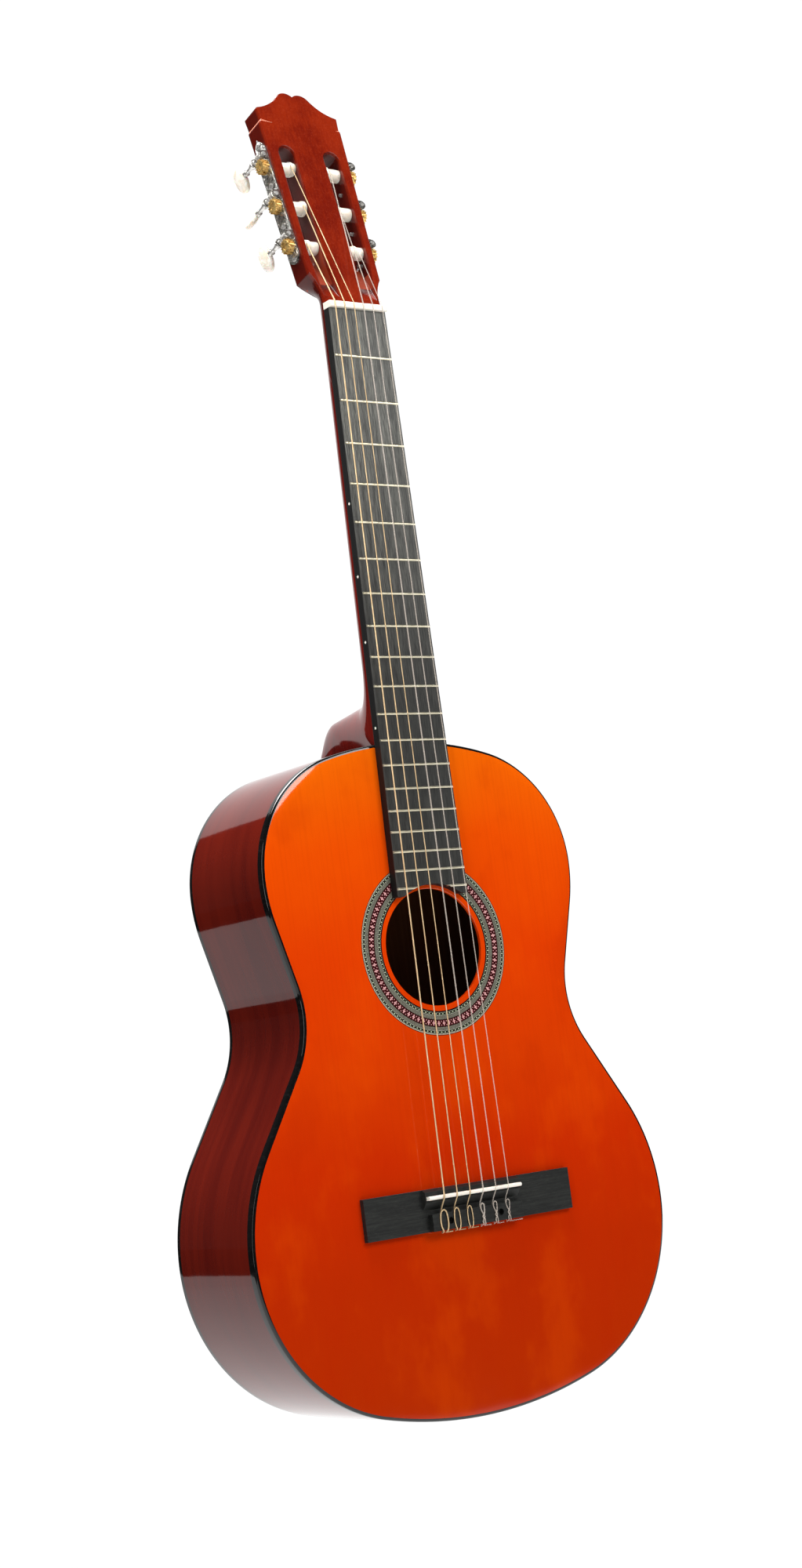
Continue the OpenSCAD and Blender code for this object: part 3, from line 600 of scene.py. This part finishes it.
# Two plated bolts with hexagon sockets, sunk in the tie block, hold it down
bolt_finish = Finish("Blackened bolt", metallic=1.0)
rust = bolt_finish.noise(500, 500, 500)
bolt_finish.feed(base_color=bolt_finish.blend(rust, srgb(14, 13, 13), srgb(44, 42, 40)))
bolt_finish.feed(roughness=0.25 + 0.3 * rust)
bolt_finish.bump(rust, 0.00005, base=bolt_finish.soft_edges(0.0002))
bolt_finish.on(cad["bridge_bolts"])


# ---------------------------------------------------------------- saddle and nut
# Strips of white moulded plastic standing in slots: the saddle rounded on top, the
# nut filed with a groove for each string; the position dots are plugs of the same.

def smoothed(node, angle=30):
    """A CAD piece shaded smooth but for its sharp edges."""
    mesh = cad[node].data
    mesh.shade_smooth()
    mesh.set_sharp_from_angle(angle=radians(angle))
    return cad[node]


white = Finish("White plastic", roughness=0.3, ior=1.5, subsurface_weight=0.15,
               subsurface_scale=0.002)
haze = white.noise(60, 60, 60, detail=3)
files = white.noise(300, 2200, 2200, detail=2)
colour = white.blend(white.smooth(haze, 0.4, 0.7), srgb(222, 217, 206), srgb(206, 199, 185))
white.feed(base_color=colour)
white.feed(roughness=0.22 + 0.25 * files)
white.bump(files, 0.00003, base=white.soft_edges(0.0004))
for node in ("saddle", "nut", "side_dots"):
    strip = smoothed(node)
    white.on(strip)


# ---------------------------------------------------------------- neck
# Shaft and heel carved from one piece of mahogany: a D section that curves out
# into a heel with a rounded foot, glued to the body, stained and lacquered.

NUT_HALF = 25.5
SCALE = 650
NUT_BELOW = 16
HOLLOW_R = 22
FOOT_R = 18


def half_width(v):
    """Half the neck's width: 9 mm more at the end of the string length."""
    return NUT_HALF + max(-v, 0) * 9 / SCALE


def shaft(v):
    """How deep the shaft is behind the fingerboard."""
    return 15.2 - 0.0045 * min(v, 0)


def on_neck(x, v, w):
    """A point x across, v up from the nut's front edge and w out of the soundboard."""
    return (x, -w - FRONT_OUT, v - NUT_BELOW)


def neck_ring(front, rear, half=None, count=28):
    """One D section between a point on the front and one on the rear, both (v, w)."""
    points = []
    for j in range(count + 1):
        f = pi / 2 * j / count
        t = sin(f) ** (2 / 2.3)
        v = front[0] + t * (rear[0] - front[0])
        w = front[1] + t * (rear[1] - front[1])
        b = half_width(v) if half is None else half
        points.append((max(b * cos(f), 0.05), v, w))
    right = [on_neck(*p) for p in points]
    left = [on_neck(-p[0], p[1], p[2]) for p in points[::-1]]
    return right + left


tilt = radians(13.5)
scarf_top = (4 - 18 / cos(tilt)) / tan(tilt)
scarf_low = (4 - 18 / cos(tilt) + 15.2) / tan(tilt)
nut_h = HANGER_H - NUT_BELOW
joint = BODY_LENGTH - nut_h
bend = radians(84)
hollow = (-268, -shaft(-268) - HOLLOW_R)
lip = (hollow[0] - HOLLOW_R * sin(bend), hollow[1] + HOLLOW_R * cos(bend))
run = 98 - shaft(-268) - (HOLLOW_R + FOOT_R) * (1 - cos(bend))
end = (lip[0] - run / tan(bend), lip[1] - run)
foot = (end[0] - FOOT_R * sin(bend), end[1] + FOOT_R * cos(bend))


def heel_half(w):
    """Half the heel's width, narrowing towards its foot."""
    return 13.5 + (half_width(joint) - 13.5) * (1 - min(-w / 100, 1)) ** 1.6


rows = []
for i in range(8):
    v = scarf_top + (-110 - scarf_top) * i / 7
    q = scarf_low + (-110 - scarf_low) * i / 7
    rows.append(neck_ring((v, 0), (q, -shaft(q))))
for v in (-150, -200, -235, -255, -263):
    rows.append(neck_ring((v, 0), (v, -shaft(v))))
for i in range(25):
    v = -270 + (joint - 2 + 270) * i / 24
    f = bend * i / 24
    rear = (hollow[0] - HOLLOW_R * sin(f), hollow[1] + HOLLOW_R * cos(f))
    rows.append(neck_ring((v, 0), rear, half_width(v)))
for i in range(1, 9):
    w = -44 * i / 8
    rear = (lip[0] + (end[0] - lip[0]) * i / 8, lip[1] + (end[1] - lip[1]) * i / 8)
    rows.append(neck_ring((joint - 2, w), rear, heel_half(w)))
for i in range(1, 21):
    w = -44 - 46 * i / 20
    f = pi + bend - bend * i / 20
    rear = (foot[0] - FOOT_R * sin(f), foot[1] + FOOT_R * cos(f))
    rows.append(neck_ring((joint - 2, w), rear, heel_half(w)))
rows.append(neck_ring((joint - 2, -94), (joint - 0.2, -98), heel_half(-94)))
neck = loft("neck_wood", rows, sharp=50)
neck_finish = lacquered_wood("Stained neck", srgb(96, 18, 11), srgb(62, 9, 8),
                             grain=(220, 220, 5), figure=(10, 10, 2), peel=0.0003)
neck_finish.on(neck)
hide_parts("neck")


# ---------------------------------------------------------------- head
# Scarfed to the neck and faced with the same red-brown wood: two routed slots with
# ramps, a two-lobed crown, and a short V carved in from each edge below it.

head = smoothed("headstock", 28)
head_finish = Finish("Stained head", roughness=0.1, ior=1.42)
v = head_finish.z + 0.016
w = -0.013 - head_finish.y
along = v * cos(tilt) - w * sin(tilt)
out = v * sin(tilt) + w * cos(tilt)
grain = head_finish.noise(420, 420, 9, detail=5, rough=0.6)
clouds = head_finish.noise(30, 30, 22, detail=4)
pores_and_glints = head_finish.noise(900, 900, 700, detail=3)
share = head_finish.smooth(0.3 * grain + 0.7 * clouds, 0.36, 0.64)
colour = head_finish.blend(share, srgb(94, 15, 5), srgb(122, 30, 8))
# Pale specks on the pores: painted glints of reflected light.
colour = head_finish.blend(0.12 * head_finish.smooth(pores_and_glints, 0.5, 0.7), colour, srgb(176, 66, 30))
# Painted shade: the slots darken with their depth below the face; near the nut their ramps are painted a
# paler orange-brown.
cut = head_finish.smooth(out, -0.0012, -0.004)
colour = head_finish.blend(0.85 * cut, colour, srgb(62, 11, 7))
within = (abs(head_finish.x) < 0.0268) * (out > -0.0165) * (along > 0.024)
ramp_share = within * cut * head_finish.smooth(along, 0.064, 0.046)
colour = head_finish.blend(0.8 * ramp_share, colour, srgb(150, 50, 14))
# Painted highlight: a pale pink line along both edges of each short V, its middle left dark; the V's
# groove itself is a bump.
inset = 0.0385 - abs(head_finish.x)
centre = abs(along - 0.1652 + inset * 0.12)
short = 0.0009 - inset * (0.07 + 0.09 * (head_finish.x > 0))
carve = centre < short
core = centre < 0.5 * short - 0.00005
colour = head_finish.blend(carve * (1 - core), colour, srgb(238, 150, 120))
head_finish.feed(base_color=colour)
head_finish.feed(roughness=0.1 + 0.1 * head_finish.smooth(pores_and_glints, 0.35, 0.7) + 0.35 * cut * within)
relief = 0.1 * pores_and_glints + 0.12 * grain - 4 * carve
head_finish.bump(relief, 0.00006, base=head_finish.soft_edges(0.0011))
head_finish.on(head)


# ---------------------------------------------------------------- fingerboard
# A flat board of black-dyed hardwood, left oiled and satin, slotted for the frets
# and scooped at the end to follow the sound hole.

board = cad["fretboard"]
board_finish = Finish("Black fingerboard", roughness=0.35, ior=1.5, specular_ior_level=0.3)
grain = board_finish.noise(1500, 1500, 60, detail=7, rough=0.75)
bands = board_finish.noise(160, 160, 9, detail=3)
open_grain = board_finish.smooth(grain, 0.36, 0.68)
# The grey is partly open grain, partly painted sheen on the black wood.
colour = board_finish.blend(open_grain, srgb(46, 46, 46), srgb(138, 138, 130))
colour = board_finish.blend(0.4 * board_finish.smooth(bands, 0.42, 0.62), colour, srgb(44, 44, 44))
# Painted sheen fading: the board darkens towards the body.
sheen_fade = board_finish.smooth(board_finish.z, -0.02, -0.34)
colour = board_finish.blend(0.86 * sheen_fade, colour, srgb(16, 16, 15))
# Painted sheen on the top face only; the board's edges stay near black.
face = board_finish.smooth(board_finish.y, -0.0152, -0.0158)
colour = board_finish.blend(face, srgb(4, 4, 4), colour)
board_finish.feed(base_color=colour)
board_finish.feed(roughness=0.42 + 0.2 * grain)
board_finish.bump(grain, 0.00007, base=board_finish.soft_edges(0.0004))
board_finish.on(board)

# Frets: lengths of T-shaped nickel silver wire pressed in, crowned and bevelled
frets = smoothed("frets", 40)
wire_finish = Finish("Fret wire", metallic=1.0)
wear = wire_finish.noise(220, 220, 600, detail=2)
wire_finish.feed(base_color=wire_finish.blend(wear, srgb(214, 206, 176), srgb(240, 234, 212)))
wire_finish.feed(roughness=0.26 + 0.14 * wear)
wire_finish.bump(wear, 0.000008)
wire_finish.on(frets)


# ---------------------------------------------------------------- tuning machines
# Two stamped plates with three worm gears each, screwed to the head's sides. The
# plates are chromed and engraved with scrolls, dark in the hollows.

chrome = Finish("Engraved chrome plate", metallic=0.9)
scroll = chrome.node("ShaderNodeTexVoronoi", {"feature": "SMOOTH_F1"}, {
    "Vector": chrome.scaled(1, 1, 1), "Scale": 330.0, "Smoothness": 0.4, "Randomness": 0.9})
swirl = chrome.noise(260, 260, 260, detail=2, distortion=2.4)
lines = chrome.node("ShaderNodeMath", {"operation": "PINGPONG"}, {0: 6 * swirl + 2 * scroll, 1: 0.5})
hollows = chrome.smooth(lines, 0.24, 0.34)
tarnish = chrome.noise(90, 90, 90, detail=4)
colour = chrome.blend(hollows, srgb(46, 43, 38), srgb(236, 234, 228))
colour = chrome.blend(0.4 * chrome.smooth(tarnish, 0.5, 0.7), colour, srgb(110, 104, 96))
chrome.feed(base_color=colour)
chrome.feed(roughness=0.36 - 0.22 * hollows)
chrome.bump(hollows, 0.00022, base=chrome.soft_edges(0.0003))
for node in ("tuner_plate_bass", "tuner_plate_treble"):
    machine_plate = smoothed(node)
    chrome.on(machine_plate)

# Plated steel screws and worm shafts with turned collars
steel = Finish("Plated steel", metallic=0.72)
smear = steel.noise(700, 700, 700, detail=3)
dull = steel.smooth(smear, 0.4, 0.7)
steel.feed(base_color=steel.blend(dull, srgb(220, 218, 214), srgb(120, 114, 106)))
steel.feed(roughness=0.12 + 0.25 * smear)
steel.bump(smear, 0.00003, base=steel.soft_edges(0.0002))
for node in ["plate_screws"] + [f"worm_{n}" for n in range(1, 7)]:
    turned = smoothed(node)
    steel.on(turned)

# Brass gears, cut with slanted teeth, on the ends of the rollers
brass = Finish("Gear brass", metallic=0.8)
grime = brass.noise(500, 500, 500, detail=4)
dark_spots = brass.smooth(grime, 0.42, 0.66)
brass.feed(base_color=brass.blend(dark_spots, srgb(240, 204, 128), srgb(150, 108, 48)))
brass.feed(roughness=0.2 + 0.3 * grime)
brass.bump(grime, 0.00006, base=brass.soft_edges(0.00025))
for n in range(1, 7):
    gear = smoothed(f"gear_{n}")
    brass.on(gear)

# Ivory-white plastic rollers, moulded over the steel spindle, drilled for the string
ivory = Finish("Ivory roller plastic", ior=1.48, subsurface_weight=0.2, subsurface_scale=0.002)
cloud = ivory.noise(180, 180, 180, detail=3)
yellowed = ivory.smooth(cloud, 0.4, 0.65)
ivory.feed(base_color=ivory.blend(yellowed, srgb(240, 234, 222), srgb(222, 212, 194)))
ivory.feed(roughness=0.16 + 0.2 * cloud)
ivory.bump(cloud, 0.00005, base=ivory.soft_edges(0.0004))
for n in range(1, 7):
    roller = smoothed(f"roller_{n}")
    ivory.on(roller)


# ---------------------------------------------------------------- buttons
# Oval knobs of cream pearl plastic pressed on the flats of the worm shafts; each
# turns by hand.

EDGE_SLOPE = 0.0345
ROLLER_FIRST = 57.6
ROLLER_GAP = 35
slant = atan(EDGE_SLOPE)
shoulder = NUT_HALF + 36 - sqrt(36 ** 2 - 21 ** 2)
head_edge = shoulder - 30 * EDGE_SLOPE


def on_side(side, x, y, z):
    """A point in a machine's frame: x out of the head's side, y up it, z out of its face."""
    across = head_edge + x * cos(slant) + y * sin(slant)
    s = y * cos(slant) - x * sin(slant)
    off = z - 8.5
    return on_neck(side * across, s * cos(tilt) + off * sin(tilt),
                   4 - s * sin(tilt) + off * cos(tilt))


def power(value, exponent):
    """A power that keeps the sign, for a squarish oval."""
    return abs(value) ** exponent * (1 if value > 0 else -1)


pearl = Finish("Pearl button plastic", ior=1.48, subsurface_weight=0.25, subsurface_scale=0.003)
fold = pearl.noise(120, 120, 120, detail=4, distortion=2.2)
glint = pearl.noise(300, 300, 300, detail=3, distortion=3.0)
colour = pearl.blend(pearl.smooth(fold, 0.38, 0.62), srgb(246, 241, 230), srgb(224, 215, 196))
colour = pearl.blend(0.5 * pearl.smooth(glint, 0.55, 0.68), colour, srgb(252, 250, 244))
pearl.feed(base_color=colour)
pearl.feed(roughness=0.1 + 0.14 * fold)
pearl.bump(fold, 0.00008)
# Number, side, place up the head and the angle in degrees at which each was left
for n, side, place, angle in ((1, 1, 0, 97), (2, 1, 1, 40), (3, 1, 2, 100),
                              (4, -1, 2, 78), (5, -1, 1, 133), (6, -1, 0, 83)):
    y0 = (ROLLER_FIRST + ROLLER_GAP * place) / cos(slant) + 8
    a = radians(angle)
    rows = []
    for i in range(1, 24):
        f = -pi / 2 + pi * i / 24
        ring = []
        for j in range(40):
            g = 2 * pi * j / 40
            px = 11.3 * power(cos(f), 0.9) * power(cos(g), 0.85)
            py = 3.3 * power(cos(f), 0.7) * power(sin(g), 0.7)
            pz = 6.7 * power(sin(f), 0.95)
            ring.append(on_side(side, 4.6 + px * cos(a) - py * sin(a),
                                y0 + px * sin(a) + py * cos(a), -28.5 + pz))
        rows.append(ring)
    knob = loft(f"button_{n}_pearl", rows, body=f"button_{n}", sharp=70)
    pearl.on(knob)
    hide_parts(f"button_{n}")


# ---------------------------------------------------------------- strings
# Three clear nylon trebles and three basses of floss wound with fine bronze wire.
# Each is looped and tucked round itself on the tie block, and wound on its roller.

def tube(name, path, radius, count=10):
    """A round string along a path in mm."""
    points = [Vector(p) for p in path]
    normal = Vector((0.9, 0.1, 0.2))
    rows = []
    for i, point in enumerate(points):
        way = (points[min(i + 1, len(points) - 1)] - points[max(i - 1, 0)]).normalized()
        normal = (normal - way * normal.dot(way)).normalized()
        third = way.cross(normal)
        rows.append([point + radius * (cos(2 * pi * j / count) * normal + sin(2 * pi * j / count) * third)
                     for j in range(count)])
    return loft(name, rows, sharp=60)


def eased(points, steps=5):
    """A smooth line through points."""
    made = []
    for i in range(len(points) - 1):
        a = Vector(points[max(i - 1, 0)])
        b = Vector(points[i])
        c = Vector(points[i + 1])
        d = Vector(points[min(i + 2, len(points) - 1)])
        for k in range(steps):
            t = k / steps
            made.append(0.5 * (2 * b + (c - a) * t + (2 * a - 5 * b + 4 * c - d) * t * t
                               + (3 * b - 3 * c + d - a) * t ** 3))
    made.append(Vector(points[-1]))
    return made


nylon = Finish("Clear nylon", ior=1.53, alpha=0.34)
cloudy = nylon.noise(200, 200, 60, detail=2)
nylon.feed(base_color=nylon.blend(cloudy, srgb(200, 184, 170), srgb(230, 220, 208)))
nylon.feed(roughness=0.14 + 0.12 * cloudy)
nylon.bump(cloudy, 0.00002)
bronze = Finish("Bronze wound string", metallic=0.5)
turns = bronze.node("ShaderNodeTexWave", {"bands_direction": "Z"}, {
    "Vector": bronze.place, "Scale": 1400.0, "Distortion": 0.4, "Detail": 1.0})
patina = bronze.noise(300, 300, 90, detail=3)
colour = bronze.blend(patina, srgb(222, 200, 160), srgb(188, 154, 108))
colour = bronze.blend(0.35 * turns, colour, srgb(168, 132, 92))
bronze.feed(base_color=colour)
bronze.feed(roughness=0.3 + 0.16 * patina)
bronze.bump(turns, 0.00005)
# Per string: its radius, and how far from the head's middle its turns lie
string_radius = [0.355, 0.41, 0.51, 0.38, 0.45, 0.55]
wind_x = [22.5, 16.8, 18, 18, 17, 24.4]
SADDLE_H = 156
BRIDGE_H = 147.4
for i in range(6):
    r = string_radius[i]
    # u is the string's place across at the saddle; sv, tb and tf are the saddle and
    # the tie block's back and front, up the neck's own scale
    u = 29 - 11.6 * i
    at_nut = 21.5 - 8.6 * i
    side = 1 if i < 3 else -1
    y = (ROLLER_FIRST + ROLLER_GAP * (i if i < 3 else 5 - i)) / cos(slant)
    out_of_side = (wind_x[i] - head_edge - y * sin(slant)) / cos(slant)
    start = Vector(on_side(side, out_of_side, y, 5.25 + r))
    sv = SADDLE_H - nut_h
    tb = BRIDGE_H - 14.75 - nut_h
    tf = tb + 12
    line = [start, Vector(on_neck(at_nut, 5, 9.48 + r * 0.2)), Vector(on_neck(at_nut, 1, 9.76 + r * 0.2)),
            Vector(on_neck(u, sv, 12.3 + r))]
    flat = 8.85 + r
    loop = [(u, sv + 6, 12.3 + r), (u, sv, 12.3 + r), (u, sv - 1.2, 11.8 + r), (u, tf + 0.8, 6.4),
            (u, tb - 0.5, 5.5)]
    if i < 3:
        loop += [(u - 0.6, tb - 1.3, 6.5), (u - 0.8, tb - 0.3, flat), (u - 0.9, tb + 1.5, flat),
                 (u, tb + 3.2, flat), (u + 0.9, tb + 5, flat), (u, tb + 6.8, flat),
                 (u - 0.9, tb + 8.6, flat), (u - 1.7, tf - 0.6, flat), (u - 1.1, tf + 1.6, 9 + r),
                 (u, tf + 2.2, 9.3 + r), (u + 1.3, tf + 1.2, 9 + r), (u + 1.5, tf - 1, flat),
                 (u + 0.9, tb + 8.6, flat + r), (u, tb + 6.8, flat + 2.1 * r), (u - 0.9, tb + 5, flat + r),
                 (u, tb + 3.2, flat + 2.1 * r), (u + 0.9, tb + 1.5, flat), (u + 0.9, tb - 0.4, flat),
                 (u + 1.6, tb - 1.4, 7)]
    else:
        b = (2.1, 2.4, 3.1)[i - 3]
        loop += [(u - 0.3 * b, tb - 1.3, 6), (u - 0.45 * b, tb - 1.4, 7.8), (u - 0.6 * b, tb - 0.4, flat),
                 (u - b, tb + 3.5, flat), (u - b, tf - 3, flat), (u - 0.7 * b, tf + 0.8, 9 + r),
                 (u, tf + 2.2, 9.3 + r), (u + 0.7 * b, tf + 0.8, 9 + r), (u + b, tf - 3, flat),
                 (u + b, tb + 3.5, flat), (u + 0.6 * b, tb - 0.4, flat), (u + 0.5 * b, tb - 1.4, 7.2)]
    tail = 15 if i == 0 else 9.5
    loop += [(u + 4, tb - 1.6, 5.2), (u + tail, tb - 1.6, 4.6)]
    path = line + [p for p in eased([on_neck(*p) for p in loop]) if p[2] < sv - 16.5]
    strand = tube(f"string_{i + 1}_line", path, r)
    (nylon if i < 3 else bronze).on(strand)
    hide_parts(f"string_{i + 1}")


# ---------------------------------------------------------------- studio
# A pale floor under the hanging guitar, a white backdrop behind it, and a dark
# screen to the left that gives the gloss its clean edges.

def card(name, width, depth, place, facing, finish):
    """A flat rectangle, its face towards a point."""
    mesh = bpy.data.meshes.new(name)
    mesh.from_pydata([(-width / 2, -depth / 2, 0), (width / 2, -depth / 2, 0),
                      (width / 2, depth / 2, 0), (-width / 2, depth / 2, 0)], [], [(0, 1, 2, 3)])
    made = bpy.data.objects.new(name, mesh)
    bpy.context.scene.collection.objects.link(made)
    made.location = place
    made.rotation_mode = "QUATERNION"
    made.rotation_quaternion = (Vector(facing) - Vector(place)).to_track_quat("Z", "Y")
    finish.on(made)
    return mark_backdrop(made)


floor_finish = Finish("Pale floor", roughness=0.6, emission_color=(1, 1, 1, 1), emission_strength=0.86)
dust = floor_finish.noise(3, 3, 3, detail=4)
floor_finish.feed(base_color=floor_finish.blend(dust, (0.3, 0.3, 0.3), (0.34, 0.34, 0.34)))
floor_finish.feed(roughness=0.6 + 0.2 * dust)
# Painted shade: the floor's glow is dimmed around a patch beyond the guitar, which darkens its reflection
# low on the sides.
away_x = floor_finish.x + 1.3
away_y = floor_finish.y + 6.7
shade = floor_finish.smooth(away_x * away_x + away_y * away_y, 1.2, 6.0)
floor_finish.feed(emission_color=floor_finish.blend(shade, (0.25, 0.25, 0.25), (1, 1, 1)))
card("Floor", 15, 30, (2.6, 9, -1.9), (2.6, 9, 0), floor_finish)
screen_finish = Finish("Dark screen", base_color=(0.012, 0.01, 0.01, 1), roughness=0.9)
middle = Vector((0, 0, -0.55))
card("Screen", 3.4, 3.0, (-2.45, 3.1, 0.85), middle, screen_finish)
panel_finish = Finish("White backdrop", base_color=(0, 0, 0, 1), emission_color=(1, 1, 1, 1),
                      emission_strength=1.02)
card("Backdrop", 9, 6.5, (2.2, 3.6, 1.2), middle, panel_finish)


def softbox(name, place, width, depth, watts):
    """A white lamp aimed at the middle of the guitar."""
    lamp = bpy.data.lights.new(name, "AREA")
    lamp.shape = "RECTANGLE"
    lamp.size = width
    lamp.size_y = depth
    lamp.energy = watts
    made = bpy.data.objects.new(name, lamp)
    made.location = place
    made.rotation_mode = "QUATERNION"
    made.rotation_quaternion = (middle - Vector(place)).to_track_quat("-Z", "Y")
    bpy.context.scene.collection.objects.link(made)


softbox("Left softbox", (-2.6, -1.4, 0.1), 0.4, 2.2, 14)
softbox("Front softbox", (0.7, -2.2, 0.9), 1.6, 1.1, 50)
softbox("Overhead softbox", (-0.6, 0.3, 2.4), 2.6, 1.8, 300)

world = bpy.data.worlds.new("Studio")
world.use_nodes = True
bpy.context.scene.world = world
sky = Nodes(world.node_tree)
background = sky.tree.nodes["Background"]
background.inputs["Color"].default_value = (1, 1, 1, 1)
rays = sky.node("ShaderNodeLightPath")
diffuse_light = 0.32
glossy_light = 0.015
glossy = sky.node("ShaderNodeMapRange", None, {
    "Value": rays.part("Is Glossy Ray"), "To Min": diffuse_light, "To Max": glossy_light})
seen = rays.math("MAXIMUM", rays.part("Is Camera Ray"), glossy)
sky.tree.links.new(seen.socket, background.inputs["Strength"])

lens = bpy.data.cameras.new("Camera")
lens.sensor_fit = "VERTICAL"
lens.sensor_height = 36
lens.lens = 56.85
camera = bpy.data.objects.new("Camera", lens)
bpy.context.scene.collection.objects.link(camera)
camera.location = (-1.0757, -1.4379, -0.5881)
ahead = Vector((0.5932, 0.7960, 0.1203)).normalized()
right = ahead.cross(Vector((0.0315, -0.1723, 0.9845))).normalized()
upward = right.cross(ahead)
camera.rotation_mode = "QUATERNION"
camera.rotation_quaternion = Matrix((right, upward, -ahead)).transposed().to_quaternion()
bpy.context.scene.camera = camera
bpy.context.scene.view_settings.view_transform = "Standard"
